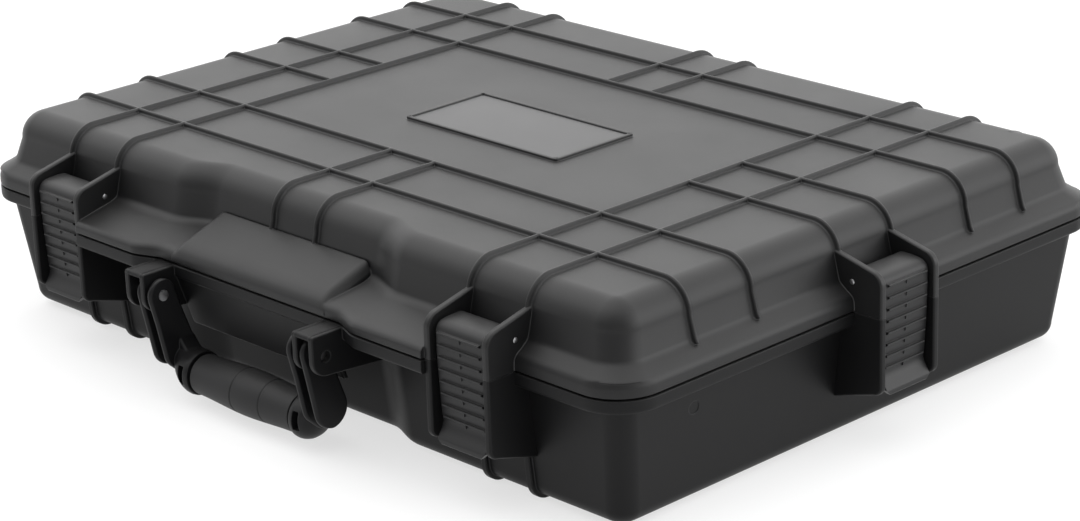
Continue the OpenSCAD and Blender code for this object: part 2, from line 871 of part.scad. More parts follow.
module gate_dimple()
    translate([half_l - base_in - embed, -rib_y_outer, seam_z - gate_drop])
        rotate([0, 90 + atan(base_draft / (seam_z - base_lip_h - base_arc_z)), 0])
            translate([0, 0, -gate_depth])
                cylinder(h = gate_depth + 2 * embed, d = gate_d, $fn = 48);

module base_shell() {
    color("#3a3a3b")
    placed()
        difference() {
            union() {
                base_body();
                foot_ribs();
                skirt();
                handle_brackets();
                base_knuckles();
            }
            gate_dimple();
        }
}

// Two ear plates and the bar between them, seated on the base's wall and flange
module latch_catch(k) {
    color("#444446")
    placed()
        difference() {
            at_station(k) {
                ears() base_ear();
                catch_bar();
            }
            base_body();
        }
}

// ---------- seal, plate and foam ----------

module lid_gasket() {
    side = 0.3;
    low = seam_z + tongue_h + 0.7;
    high = seam_z + groove_d;
    rings = [
        ring(high, groove_in + side),
        ring(low, groove_in + side),
        ring(low, groove_in + groove_w - side),
        ring(high, groove_in + groove_w - side)
    ];
    n = len(rings[0]);
    color("#1c1c1c")
    placed()
        polyhedron(
            [for (r = rings) each r],
            [for (i = [0:3], j = [0:n - 1])
                let(a = (i + 1) % 4, b = (j + 1) % n)
                each [[i * n + j, i * n + b, a * n + b], [i * n + j, a * n + b, a * n + j]]],
            convexity = 6
        );
}

module name_plate() {
    edge = bead_w + 0.3;
    color("#4c4c4e")
    placed()
        translate([frame_x, frame_y, lid_top_z + plate_t / 2])
            cube([frame_l - 2 * edge, frame_w - 2 * edge, plate_t], center = true);
}

module rounded_pocket(l, w) {
    for (sx = [-1, 1], sy = [-1, 1])
        translate([sx * (l / 2 - pocket_r), sy * (w / 2 - pocket_r)]) circle(pocket_r, $fn = 48);
    square([l - 2 * pocket_r, w], center = true);
    square([l, w - 2 * pocket_r], center = true);
}

module base_foam_pad() {
    color("#303032")
    placed()
        liner(
            floor_z + foam_gap, base_wall_in + base_round + foam_gap,
            base_corner_r - base_round - foam_gap, pad_t
        );
}

module base_foam_tray() {
    low = floor_z + 2 * foam_gap + pad_t;
    high = seam_z - tray_low;
    inset = base_wall_in + wall + foam_gap;
    rear_y = (pocket_front_w + pocket_wall) / 2;
    front_y = -(pocket_rear_w + pocket_wall) / 2;
    color("#262628")
    placed()
        difference() {
            liner(low, inset, base_corner_r - wall - foam_gap, high - low);
            translate([0, 0, high - pocket_d])
                linear_extrude(pocket_d + 1) {
                    translate([0, rear_y]) rounded_pocket(pocket_rear_l, pocket_rear_w);
                    for (s = [-1, 1])
                        translate([s * (pocket_front_l + pocket_wall) / 2, front_y])
                            rounded_pocket(pocket_front_l, pocket_front_w);
                }
        }
}

module lid_foam() {
    color("#2c2c2e")
    placed()
        liner(
            ceiling_z - foam_gap - lid_foam_t, lid_wall_in + lid_round + foam_gap,
            lid_corner_r - lid_round - foam_gap, lid_foam_t
        );
}

// ---------- handle ----------

// Side view of an arm: the eye, the waist below it, and the round lower end
module arm_side(eye) {
    hull() {
        translate([-pin_y, pin_z]) circle(eye, $fn = 96);
        translate(waist_mid) circle(waist_r, $fn = 96);
    }
    hull() {
        translate(waist_mid) circle(waist_r, $fn = 96);
        translate(paddle_mid) circle(paddle_r, $fn = 96);
    }
}

// Side view of an inner plate, which reaches on to the grip's end
module arm_side_inner() {
    arm_side(eye_r);
    hull() {
        translate(paddle_mid) circle(paddle_r, $fn = 96);
        translate([-grip_y, grip_z]) circle(grip_end_d / 2, $fn = 96);
    }
}

// Front view of an arm's inner plate, carried inward to the grip's end below
module arm_front_inner() {
    low = grip_z - grip_end_d / 2;
    high = grip_z + grip_end_d / 2;
    polygon([
        [arm_in_x, pin_z + eye_r],
        [arm_in_x + arm_t, pin_z + eye_r],
        [arm_in_x + arm_t, low + 9],
        [arm_in_x + arm_t / 2, low + 6.5],
        [grip_l / 2 + 1, low],
        [grip_l / 2 - 1, low],
        [grip_l / 2 - 1, high - 2],
        [arm_in_x - 5, high + 1],
        [arm_in_x, high + 7]
    ]);
}

// Front view of an arm's outer plate, inside the bracket and down beside the inner one
module arm_front_outer()
    translate([arm_out_x, grip_z - 4]) square([arm_t, pin_z + eye_r - grip_z + 4]);

// The web that closes the arm's channel on the side of the case
module arm_web() {
    top = [waist_mid[0] - waist_r + 1.5, waist_mid[1] - 3];
    low = [paddle_mid[0] - paddle_r + 1.5, paddle_mid[1]];
    polygon([top, top + [3, 0], low + [3, 0], low]);
}

// Cuts a side view with a front view; both are long enough to pass through each other
module crossed(side_mid) {
    intersection() {
        translate([side_mid, 0, 0]) facing(-90) slab(arm_reach) children(0);
        translate([0, pin_y, 0]) slab(2 * arm_reach) children(1);
    }
}

module arm()
    difference() {
        union() {
            crossed(bracket_x) {
                arm_side_inner();
                arm_front_inner();
            }
            crossed(bracket_x) {
                arm_side(eye_slot_r);
                arm_front_outer();
            }
            translate([(arm_in_x + arm_out_x + arm_t) / 2, 0, 0])
                facing(-90) slab(arm_out_x - arm_in_x) arm_web();
        }
        translate([arm_in_x - 1, pin_y, pin_z])
            rotate([0, 90, 0])
                cylinder(
                    h = bracket_w + arm_t + 4, r = handle_pin_d / 2 + pin_clear, $fn = 64
                );
    }

module handle_frame() {
    color("#3a3a3c")
    placed() {
        arm();
        mirror([1, 0, 0]) arm();
        translate([0, grip_y, grip_z])
            rotate([0, 90, 0])
                cylinder(h = grip_l, d = bar_d, center = true, $fn = 64);
    }
}

// The grip swells to the middle and has ring grooves near its ends and at its thirds.
module handle_grip() {
    half = grip_l / 2 - 1 - foam_gap;
    groove = 0.8;
    stops = [half - 5, 12];
    swell = function(x) grip_end_d / 2 + (grip_d - grip_end_d) / 2 * smooth(1 - abs(x) / half);
    xs = [for (i = [-12:12]) half * i / 12];
    color("#424244")
    placed()
        translate([0, grip_y, grip_z])
            rotate([0, 90, 0])
                difference() {
                    rotate_extrude($fn = 96)
                        polygon(concat(
                            [[bar_d / 2 + pin_clear, -half], [swell(half) - 1, -half]],
                            [for (i = [-11:11]) [swell(half * i / 12), half * i / 12]],
                            [[swell(half) - 1, half], [bar_d / 2 + pin_clear, half]]
                        ));
                    for (s = [-1, 1], x = stops)
                        rotate_extrude($fn = 96)
                            translate([swell(x) - groove, s * x - groove / 2])
                                square([groove + 2, groove]);
                }
}

module handle_pin(s) {
    length = bracket_x + bracket_w - 1 - arm_in_x + 0.8;
    color("#b4b4b8")
    placed()
        translate([s * (arm_in_x - 0.8), pin_y, pin_z])
            rotate([0, s * 90, 0])
                cylinder(h = length, d = handle_pin_d, $fn = 64);
}

base_shell();
lid_shell();
lid_gasket();
name_plate();
latch_catch(0);  // latch_catch_front_left
latch_catch(1);  // latch_catch_front_right
latch_catch(2);  // latch_catch_side_left
latch_catch(3);  // latch_catch_side_right
lever(0);  // latch_lever_front_left
lever(1);  // latch_lever_front_right
lever(2);  // latch_lever_side_left
lever(3);  // latch_lever_side_right
latch_pin(0);  // latch_pin_front_left
latch_pin(1);  // latch_pin_front_right
latch_pin(2);  // latch_pin_side_left
latch_pin(3);  // latch_pin_side_right
hinge_pin(-1);  // hinge_pin_left
hinge_pin(1);  // hinge_pin_right
handle_frame();
handle_grip();
handle_pin(-1);  // handle_pin_left
handle_pin(1);  // handle_pin_right
base_foam_pad();
base_foam_tray();
lid_foam();
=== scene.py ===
# %% [markdown]
# # A hard tool case, dressed from its frame
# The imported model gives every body, hinge and size of the case. This lesson lays a finer skin over
# it: rounder shells, softened edges, ridged latches and a fine moulded grain. Each step first says
# what the real piece is, then how it could be made, and then makes it.

# %% Load the frame
import math

import bmesh
import bpy
from mathutils import Matrix, Vector


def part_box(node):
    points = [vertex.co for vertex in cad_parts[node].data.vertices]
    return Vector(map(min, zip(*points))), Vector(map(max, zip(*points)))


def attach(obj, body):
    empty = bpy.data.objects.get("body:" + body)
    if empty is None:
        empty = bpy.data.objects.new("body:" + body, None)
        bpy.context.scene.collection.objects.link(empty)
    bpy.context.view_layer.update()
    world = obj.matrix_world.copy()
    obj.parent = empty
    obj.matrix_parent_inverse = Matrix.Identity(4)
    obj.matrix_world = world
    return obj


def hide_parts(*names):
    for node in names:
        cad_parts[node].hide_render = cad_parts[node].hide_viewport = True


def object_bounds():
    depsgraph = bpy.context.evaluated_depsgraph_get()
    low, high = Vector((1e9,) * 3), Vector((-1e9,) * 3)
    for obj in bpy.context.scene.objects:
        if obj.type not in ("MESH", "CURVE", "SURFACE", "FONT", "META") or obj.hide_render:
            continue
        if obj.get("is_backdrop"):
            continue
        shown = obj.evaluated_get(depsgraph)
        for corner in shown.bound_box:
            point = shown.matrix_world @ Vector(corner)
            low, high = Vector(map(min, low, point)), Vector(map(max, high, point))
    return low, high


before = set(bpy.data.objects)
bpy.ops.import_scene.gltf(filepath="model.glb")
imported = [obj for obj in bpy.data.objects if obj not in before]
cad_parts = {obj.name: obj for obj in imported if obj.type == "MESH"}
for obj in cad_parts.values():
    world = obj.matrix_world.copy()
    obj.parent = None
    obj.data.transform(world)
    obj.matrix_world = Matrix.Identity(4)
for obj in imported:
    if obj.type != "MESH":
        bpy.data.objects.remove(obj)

cad_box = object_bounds()
print("case in millimetres:", [round(1000 * (high - low)) for low, high in zip(*cad_box)])

# %% [markdown]
# ## Units and the middle of the plan
# Blender works in metres, but a case is drawn in millimetres. The script keeps millimetres in its
# sizes and turns them into metres in one place. The origin lies under the middle of everything,
# handle included, so the plan of the two shells sits a little further back. The rubber seal runs
# round that plan, so its box tells where the middle is.

# %% Units and the middle of the plan
MM = 0.001
seal_low, seal_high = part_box("lid_gasket")
PLAN_Y = (seal_low.y + seal_high.y) / 2 / MM


def point(x, y, z):
    """A point of the case in metres, from millimetres about the middle of the plan."""
    return Vector((x, y + PLAN_Y, z)) * MM


print("the plan's middle lies", round(PLAN_Y, 2), "mm behind the origin")

# %% [markdown]
# ## The camera
# A camera can be turned by angles or aimed by its own three axes. Here the axes are worked out from
# a turn about the case, a rise above it and a small roll, and then set beside each other in one
# matrix. Sliding the camera sideways keeps its direction and only moves the case in the picture.

# %% The camera
CAMERA_TURN = math.radians(46.423)
CAMERA_RISE = math.radians(20.055)
CAMERA_ROLL = math.radians(-1.949)
CAMERA_DISTANCE = 1.710615
CAMERA_RIGHT = 0.008780
CAMERA_UP = -0.074923
CAMERA_AIM = point(0, 0, 115)
LENS_MM = 104.716
SENSOR_MM = 36

away = Vector((
    math.sin(CAMERA_TURN) * math.cos(CAMERA_RISE),
    -math.cos(CAMERA_TURN) * math.cos(CAMERA_RISE),
    math.sin(CAMERA_RISE),
))
sideways = Vector((math.cos(CAMERA_TURN), math.sin(CAMERA_TURN), 0))
upright = away.cross(sideways)
side_axis = math.cos(CAMERA_ROLL) * sideways + math.sin(CAMERA_ROLL) * upright
up_axis = math.cos(CAMERA_ROLL) * upright - math.sin(CAMERA_ROLL) * sideways

lens = bpy.data.cameras.new("camera")
lens.sensor_width = SENSOR_MM
lens.lens = LENS_MM
camera = bpy.data.objects.new("camera", lens)
bpy.context.scene.collection.objects.link(camera)
place = CAMERA_AIM + CAMERA_RIGHT * side_axis + CAMERA_UP * up_axis + CAMERA_DISTANCE * away
axes = Matrix((side_axis, up_axis, away)).transposed().to_4x4()
camera.matrix_world = Matrix.Translation(place) @ axes
bpy.context.scene.camera = camera
print("camera at", [round(v, 3) for v in place])

# %% [markdown]
# ## Light
# Black plastic shows its surroundings more than its colour. A studio has a bright ceiling and back
# wall and a dimmer side where the camera stands: at a glancing angle the lid then mirrors the bright
# wall and looks grey, while the walls that face the camera stay dark. A wide window at the right
# brightens the end of the lid. A world whose brightness changes with direction does this with no
# lamp at all, and one wide soft lamp adds gentle shadows.

# %% Light
BRIGHT_SIDE, BRIGHT_SPAN = (-0.30, 0.62, 0.72), (-0.5, 0.7)
WORLD_DIM = 0.42
WORLD_BRIGHT = 1.90
WINDOW_SIDE, WINDOW_SPAN = (0.80, 0.58, 0.12), (0.70, 1.0)
WINDOW_GLOW = 2.2
LAMP_STRENGTH = 0.5
LAMP_SPREAD = math.radians(60)
LAMP_TILT = (math.radians(24), math.radians(-22), 0)


def node(tree, kind, **values):
    """Adds a node and sets its own properties and its unlinked inputs by name."""
    made = tree.nodes.new(kind)
    for name, value in values.items():
        if name in made.bl_rna.properties:
            setattr(made, name, value)
        else:
            made.inputs[name.replace("_", " ")].default_value = value
    return made


def wire(tree, *links):
    """Joins nodes: each link names a node and its output, then a node and its input."""
    for source, output, target, entrance in links:
        tree.links.new(source.outputs[output], target.inputs[entrance])


def lit_side(tree, direction, side, start, end, low, high):
    """Brightness that runs from low to high as a direction comes nearer to a side."""
    near = node(tree, "ShaderNodeVectorMath", operation="DOT_PRODUCT")
    near.inputs[1].default_value = Vector(side).normalized()
    ramp = node(tree, "ShaderNodeMapRange", interpolation_type="SMOOTHSTEP",
                From_Min=start, From_Max=end, To_Min=low, To_Max=high)
    tree.links.new(direction, near.inputs[0])
    wire(tree, (near, "Value", ramp, "Value"))
    return ramp.outputs["Result"]


world = bpy.data.worlds.new("studio")
world.use_nodes = True
bpy.context.scene.world = world
tree = world.node_tree
direction = node(tree, "ShaderNodeTexCoord").outputs["Generated"]
total = node(tree, "ShaderNodeMath", operation="ADD")
room = lit_side(tree, direction, BRIGHT_SIDE, *BRIGHT_SPAN, WORLD_DIM, WORLD_BRIGHT)
window = lit_side(tree, direction, WINDOW_SIDE, *WINDOW_SPAN, 0, WINDOW_GLOW)
tree.links.new(room, total.inputs[0])
tree.links.new(window, total.inputs[1])
studio_light = tree.nodes["Background"]
studio_light.inputs["Color"].default_value = (1, 1, 1, 1)
wire(tree, (total, "Value", studio_light, "Strength"))

lamp = bpy.data.lights.new("ceiling_lamp", "SUN")
lamp.energy = LAMP_STRENGTH
lamp.angle = LAMP_SPREAD
lamp_object = bpy.data.objects.new("ceiling_lamp", lamp)
lamp_object.rotation_euler = LAMP_TILT
bpy.context.scene.collection.objects.link(lamp_object)
print("world from", WORLD_DIM, "to", WORLD_BRIGHT, "and a lamp of", LAMP_STRENGTH)

# %% [markdown]
# ## The floor
# The floor catches the case's soft shadow, so it is a real surface. It is large enough to fill the
# picture to its top edge. White paper in a studio is lit from behind the camera as well, and a share
# of plain white stands for that: the camera sees it, and so do mirrors and glass. The rest of the
# floor is lit by the scene's own light and keeps the shadow.

# %% The floor
FLOOR_SIZE = 12.0
FLOOR_GREY = 0.93
FLOOR_GLOW = 0.66

floor_bm = bmesh.new()
bmesh.ops.create_grid(floor_bm, x_segments=1, y_segments=1, size=FLOOR_SIZE / 2)
floor_mesh = bpy.data.meshes.new("floor")
floor_bm.to_mesh(floor_mesh)
floor_bm.free()
floor = bpy.data.objects.new("floor", floor_mesh)
bpy.context.scene.collection.objects.link(floor)
floor_paint = bpy.data.materials.new("floor_paint")
floor_paint.use_nodes = True
tree = floor_paint.node_tree
floor_shader = tree.nodes["Principled BSDF"]
floor_shader.inputs["Base Color"].default_value = (FLOOR_GREY, FLOOR_GREY, FLOOR_GREY, 1)
floor_shader.inputs["Roughness"].default_value = 0.9
floor_shader.inputs["Specular IOR Level"].default_value = 0.0
white = node(tree, "ShaderNodeEmission", Strength=1.0)
path = node(tree, "ShaderNodeLightPath")
seen = node(tree, "ShaderNodeMath", operation="ADD")
seen_through = node(tree, "ShaderNodeMath", operation="ADD", use_clamp=True)
share = node(tree, "ShaderNodeMath", operation="MULTIPLY")
share.inputs[1].default_value = FLOOR_GLOW
mix = node(tree, "ShaderNodeMixShader")
wire(
    tree, (path, "Is Camera Ray", seen, 0), (path, "Is Glossy Ray", seen, 1),
    (seen, "Value", seen_through, 0), (path, "Is Transmission Ray", seen_through, 1),
    (seen_through, "Value", share, 0), (share, "Value", mix, 0), (floor_shader, 0, mix, 1),
    (white, 0, mix, 2), (mix, 0, tree.nodes["Material Output"], "Surface"),
)
floor_mesh.materials.append(floor_paint)
floor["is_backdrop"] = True
print("floor", FLOOR_SIZE, "m wide")

# %% [markdown]
# ## Finishes: shared effects
# Moulded plastic copies the etched steel of its mould: a grain finer than half a millimetre, with
# faint cloudy flow marks over a few centimetres. Edges are rubbed a little smoother by hands and
# bags. They are also painted paler, which is partly wear and partly a painted highlight along every
# edge. Some dust settles on what faces up. Each of these is used by several materials, so each is a
# node group that is built once. A group puts out only masks and heights, and the material decides
# what to do with them.

# %% Shared effects
def new_group(name, inputs, outputs):
    """An empty shader group with named float or vector sockets."""
    group = bpy.data.node_groups.new(name, "ShaderNodeTree")
    for socket, kind in inputs:
        group.interface.new_socket(name=socket, in_out="INPUT", socket_type=kind)
    for socket, kind in outputs:
        group.interface.new_socket(name=socket, in_out="OUTPUT", socket_type=kind)
    entry = group.nodes.new("NodeGroupInput")
    leave = group.nodes.new("NodeGroupOutput")
    return group, entry, leave


FLOAT, VECTOR = "NodeSocketFloat", "NodeSocketVector"

# The grain: fine pits from a noise, broken up by a coarser one, and wide clouds for the flow marks.
grain, entry, leave = new_group(
    "moulded_grain", [("Place", VECTOR), ("Fineness", FLOAT)], [("Height", FLOAT), ("Cloud", FLOAT)]
)
pits = node(grain, "ShaderNodeTexNoise", Detail=3.0, Roughness=0.65)
clouds = node(grain, "ShaderNodeTexNoise", Scale=22.0, Detail=4.0, Roughness=0.55)
wire(
    grain, (entry, "Place", pits, "Vector"), (entry, "Fineness", pits, "Scale"),
    (entry, "Place", clouds, "Vector"), (pits, "Fac", leave, "Height"),
    (clouds, "Fac", leave, "Cloud"),
)

# Edge wear and painted highlight: where the softened normal leaves the flat one, an edge is near. The
# mask makes edges smoother and paler, as wear and as a painted highlight.
wear_and_highlight, entry, leave = new_group(
    "edge_wear_and_highlight", [("Place", VECTOR), ("Reach", FLOAT)], [("Wear And Highlight", FLOAT), ("Soft Normal", VECTOR)]
)
soft = node(wear_and_highlight, "ShaderNodeBevel", samples=6)
flat = node(wear_and_highlight, "ShaderNodeNewGeometry")
match = node(wear_and_highlight, "ShaderNodeVectorMath", operation="DOT_PRODUCT")
near_edge = node(wear_and_highlight, "ShaderNodeMapRange", From_Min=0.995, From_Max=0.80)
patches = node(wear_and_highlight, "ShaderNodeTexNoise", Scale=60.0, Detail=4.0)
worn_and_highlit = node(wear_and_highlight, "ShaderNodeMath", operation="MULTIPLY")
wire(
    wear_and_highlight, (entry, "Reach", soft, "Radius"), (soft, "Normal", match, 0), (flat, "Normal", match, 1),
    (match, "Value", near_edge, "Value"), (entry, "Place", patches, "Vector"),
    (near_edge, "Result", worn_and_highlit, 0), (patches, "Fac", worn_and_highlit, 1),
    (worn_and_highlit, "Value", leave, "Wear And Highlight"), (soft, "Normal", leave, "Soft Normal"),
)

# Dust: it lies on faces that look up, in loose patches.
dust, entry, leave = new_group("settled_dust", [("Place", VECTOR)], [("Dust", FLOAT)])
shape = node(dust, "ShaderNodeNewGeometry")
split = node(dust, "ShaderNodeSeparateXYZ")
upward = node(dust, "ShaderNodeMapRange", From_Min=0.6, From_Max=1.0)
drift = node(dust, "ShaderNodeTexNoise", Scale=9.0, Detail=7.0, Roughness=0.7)
settled = node(dust, "ShaderNodeMath", operation="MULTIPLY")
wire(
    dust, (shape, "Normal", split, "Vector"), (split, "Z", upward, "Value"),
    (entry, "Place", drift, "Vector"), (upward, "Result", settled, 0), (drift, "Fac", settled, 1),
    (settled, "Value", leave, "Dust"),
)
print("effects:", [group.name for group in bpy.data.node_groups])

# %% [markdown]
# ## Finishes: moulded plastic and rubber
# Both shells, the levers, the handle and the plate are dark plastics that differ in shade, gloss and
# grain. The base is a darker, less shiny copy of the lid's plastic: painted shade for the shade the
# base stands in. One function mixes them from the shared effects. The base colour is nearly black,
# because most of what the eye sees on such a case is the sheen of the room at a glancing angle.

# %% Moulded plastic
# Paler colour painted on edges: partly rubbed wear, partly a painted highlight.
WORN_AND_HIGHLIT_EDGE = (0.035, 0.035, 0.036)
DUST_COLOUR = (0.35, 0.34, 0.33)


def new_material(name):
    """A material, its node tree, its shader and a place on the piece to draw patterns from."""
    material = bpy.data.materials.new(name)
    material.use_nodes = True
    tree = material.node_tree
    place = node(tree, "ShaderNodeTexCoord").outputs["Object"]
    return material, tree, tree.nodes["Principled BSDF"], place


def use(tree, group, place, **values):
    """Places a shared effect in a material and feeds it the place on the piece."""
    made = tree.nodes.new("ShaderNodeGroup")
    made.node_tree = group
    tree.links.new(place, made.inputs["Place"])
    for name, value in values.items():
        made.inputs[name].default_value = value
    return made


def blend_value(tree, mask, low, high):
    """Turns a mask from 0 to 1 into a value from low to high."""
    scale = node(tree, "ShaderNodeMapRange", To_Min=low, To_Max=high)
    tree.links.new(mask, scale.inputs["Value"])
    return scale.outputs["Result"]


def blend_colour(tree, mask, low, high):
    """Mixes two colours, of which the first may be another node's output."""
    mix = node(tree, "ShaderNodeMix", data_type="RGBA")
    tree.links.new(mask, mix.inputs["Factor"])
    if isinstance(low, bpy.types.NodeSocket):
        tree.links.new(low, mix.inputs["A"])
    else:
        mix.inputs["A"].default_value = (*low, 1)
    mix.inputs["B"].default_value = (*high, 1)
    return mix.outputs["Result"]


def moulded(name, shade, gloss, sheen, fineness, depth, reach=0.0008, dusty=0.05):
    """A dark moulded plastic: shade, roughness, sheen, grain per metre and depth, edge softness."""
    material, tree, shader, place = new_material(name)
    pattern = use(tree, grain, place, Fineness=fineness)
    edges = use(tree, wear_and_highlight, place, Reach=reach)
    film = use(tree, dust, place)
    body = blend_colour(
        tree, pattern.outputs["Cloud"], [v * 0.90 for v in shade], [v * 1.12 for v in shade]
    )
    # Edges painted paler: rubbed wear and a painted highlight along each edge.
    worn_and_highlit = blend_colour(tree, edges.outputs["Wear And Highlight"], body, WORN_AND_HIGHLIT_EDGE)
    dusted = blend_colour(tree, blend_value(tree, film.outputs["Dust"], 0, dusty), worn_and_highlit, DUST_COLOUR)
    cloudy = blend_value(tree, pattern.outputs["Cloud"], gloss - 0.04, gloss + 0.05)
    polish = blend_value(tree, edges.outputs["Wear And Highlight"], 0, 0.3)
    roughness = node(tree, "ShaderNodeMath", operation="SUBTRACT", use_clamp=True)
    bump = node(tree, "ShaderNodeBump", Strength=1.0, Distance=depth)
    shader.inputs["Specular IOR Level"].default_value = sheen
    tree.links.new(cloudy, roughness.inputs[0])
    tree.links.new(polish, roughness.inputs[1])
    tree.links.new(dusted, shader.inputs["Base Color"])
    wire(
        tree, (pattern, "Height", bump, "Height"), (edges, "Soft Normal", bump, "Normal"),
        (roughness, "Value", shader, "Roughness"), (bump, "Normal", shader, "Normal"),
    )
    return material


lid_black = moulded("lid_black", (0.0060, 0.0060, 0.0063), 0.44, 0.32, 1800, 0.00006)
# The base: the lid's plastic made darker and less shiny, as painted shade for the shade it stands in.
base_painted_shade_black = moulded("base_painted_shade_black", (0.0045, 0.0045, 0.0048), 0.46, 0.17, 1800, 0.00006)
lever_black = moulded("lever_black", (0.009, 0.009, 0.0095), 0.38, 0.28, 2200, 0.00003, 0.0003)
handle_black = moulded("handle_black", (0.0055, 0.0055, 0.006), 0.40, 0.18, 2200, 0.00003, 0.0006)
grip_rubber = moulded("grip_rubber", (0.012, 0.012, 0.0125), 0.52, 0.25, 1400, 0.00008, 0.0005)
plate_grey = moulded("plate_grey", (0.030, 0.030, 0.031), 0.36, 0.28, 2600, 0.00002, 0.0004)
seal_rubber = moulded("seal_rubber", (0.018, 0.018, 0.018), 0.55, 0.28, 1600, 0.00003, 0.0003)
print("plastics:", [material.name for material in bpy.data.materials])

# %% [markdown]
# ## Finishes: steel and foam
# The pins are turned steel, and turning leaves fine rings across the rod. A stretched noise gives
# them. The lining is open-cell foam: a crowd of tiny cells with dark pores, which a Voronoi pattern
# draws well, over slow waves where the block was cut.

# %% Steel and foam
pin_steel, tree, shader, place = new_material("pin_steel")
shader.inputs["Metallic"].default_value = 1.0
tool_marks = node(tree, "ShaderNodeTexNoise", Scale=900.0, Detail=2.0)
tree.links.new(place, tool_marks.inputs["Vector"])
marks = tool_marks.outputs["Fac"]
metal = blend_colour(tree, marks, (0.30, 0.30, 0.31), (0.52, 0.52, 0.53))
tree.links.new(metal, shader.inputs["Base Color"])
tree.links.new(blend_value(tree, marks, 0.28, 0.46), shader.inputs["Roughness"])

foam_grey, tree, shader, place = new_material("foam_grey")
shader.inputs["Roughness"].default_value = 0.95
shader.inputs["Specular IOR Level"].default_value = 0.2
cells = node(tree, "ShaderNodeTexVoronoi", Scale=520.0)
waves = node(tree, "ShaderNodeTexNoise", Scale=14.0, Detail=5.0)
tree.links.new(place, cells.inputs["Vector"])
tree.links.new(place, waves.inputs["Vector"])
pores = blend_colour(tree, cells.outputs["Distance"], (0.020, 0.020, 0.021), (0.075, 0.075, 0.078))
faded = blend_colour(tree, blend_value(tree, waves.outputs["Fac"], 0, 0.35), pores, (0.05, 0.05, 0.052))
tree.links.new(faded, shader.inputs["Base Color"])
bump = node(tree, "ShaderNodeBump", Strength=0.8, Distance=0.0006)
wire(tree, (cells, "Distance", bump, "Height"), (bump, "Normal", shader, "Normal"))
print("all finishes:", len(bpy.data.materials))

# %% [markdown]
# ## Building solids from rings
# Most of this case is moulded from flowing outlines: a shell is the same plan outline, repeated at
# different heights and insets. Extruding one loop of edges again and again, and laying each new loop
# where the next outline is, makes such a body as one closed surface. The same helper also lofts a
# rib along a path. Everything is drawn in millimetres about the middle of the plan and is brought
# into the frame once, at the very end.

# %% Building solids from rings
def loft(rings):
    """A closed surface through rings of points, which all have the same number of points."""
    bm = bmesh.new()
    count = len(rings[0])
    loop = list(bmesh.ops.create_circle(bm, cap_ends=True, segments=count, radius=1)["verts"])
    for vert, place in zip(loop, rings[0]):
        vert.co = place
    for ring in rings[1:]:
        edges = [bm.edges.get((loop[i], loop[(i + 1) % count])) for i in range(count)]
        grown = bmesh.ops.extrude_edge_only(bm, edges=edges)["geom"]
        follower = {}
        for vert in (part for part in grown if isinstance(part, bmesh.types.BMVert)):
            for edge in vert.link_edges:
                follower.setdefault(edge.other_vert(vert), vert)
        loop = [follower[vert] for vert in loop]
        for vert, place in zip(loop, ring):
            vert.co = place
    last = [bm.edges.get((loop[i], loop[(i + 1) % count])) for i in range(count)]
    bmesh.ops.contextual_create(bm, geom=last)
    bmesh.ops.recalc_face_normals(bm, faces=bm.faces)
    return bm


def soften(bm, width, steps=3, sharper=25, only=None):
    """Rounds every edge that turns by more than an angle, or those that a test picks."""
    edges = [
        edge for edge in bm.edges
        if len(edge.link_faces) == 2
        and edge.calc_face_angle() > math.radians(sharper)
        and (only is None or only(edge))
    ]
    bmesh.ops.bevel(
        bm, geom=edges, offset=width, offset_type="OFFSET", affect="EDGES", segments=steps,
        profile=0.5, material=-1, clamp_overlap=True,
    )
    return bm


def slab(outline, thickness, middle=0.0, soft=0.0, steps=3):
    """A plate drawn as distance and height, with its thickness along Y and rounded edges."""
    bm = loft([
        [(u, middle + side * thickness / 2, z) for u, z in outline] for side in (-1, 1)
    ])
    return soften(bm, soft, steps) if soft else bm


def turned(bm, matrix):
    """Moves a part by a matrix, and keeps its faces outward."""
    bmesh.ops.transform(bm, matrix=matrix, verts=bm.verts)
    return bm


def at(x=0, y=0, z=0, facing=0):
    """Carries a part to a place, and turns what is drawn outward along X to an angle in plan."""
    return Matrix.Translation((x, y, z)) @ Matrix.Rotation(math.radians(facing), 4, "Z")


def smooth(t):
    """Runs from 0 to 1 with a level start and end."""
    u = min(max(t, 0), 1)
    return u * u * (3 - 2 * u)


test = slab([(0, 0), (10, 0), (10, 6), (0, 6)], 4, soft=0.8)
print("a softened block has", len(test.faces), "faces")
test.free()

# %% [markdown]
# ## Cutting and joining
# A bore or a pocket is easiest as a Boolean: one part minus a cutter. It stays quick and clean when
# it is done on a small part, before that part joins the rest. Parts of one moulding then simply sink
# into each other, as separate closed surfaces in one mesh. Smooth shading with sharp edges kept and
# a weighted normal makes the large faces look flat and the small roundings round.

# %% Cutting and joining
PIECES = bpy.data.collections.new("dressed")
bpy.context.scene.collection.children.link(PIECES)


def as_object(bm, name):
    """Puts a part into the scene for a moment, so that a modifier can reach it."""
    mesh = bpy.data.meshes.new(name)
    bm.to_mesh(mesh)
    bm.free()
    made = bpy.data.objects.new(name, mesh)
    bpy.context.scene.collection.objects.link(made)
    return made


def carve(bm, *cutters):
    """Takes cutters away from a part and gives the cut part back."""
    body = as_object(bm, "carved")
    tools = [as_object(cutter, "cutter") for cutter in cutters]
    for tool in tools:
        cut = body.modifiers.new("cut", "BOOLEAN")
        cut.operation = "DIFFERENCE"
        cut.solver = "EXACT"
        cut.object = tool
    bpy.context.view_layer.update()
    seen_body = body.evaluated_get(bpy.context.evaluated_depsgraph_get())
    result = bmesh.new()
    result.from_mesh(seen_body.to_mesh())
    seen_body.to_mesh_clear()
    for spare in (body, *tools):
        mesh = spare.data
        bpy.data.objects.remove(spare)
        bpy.data.meshes.remove(mesh)
    return result


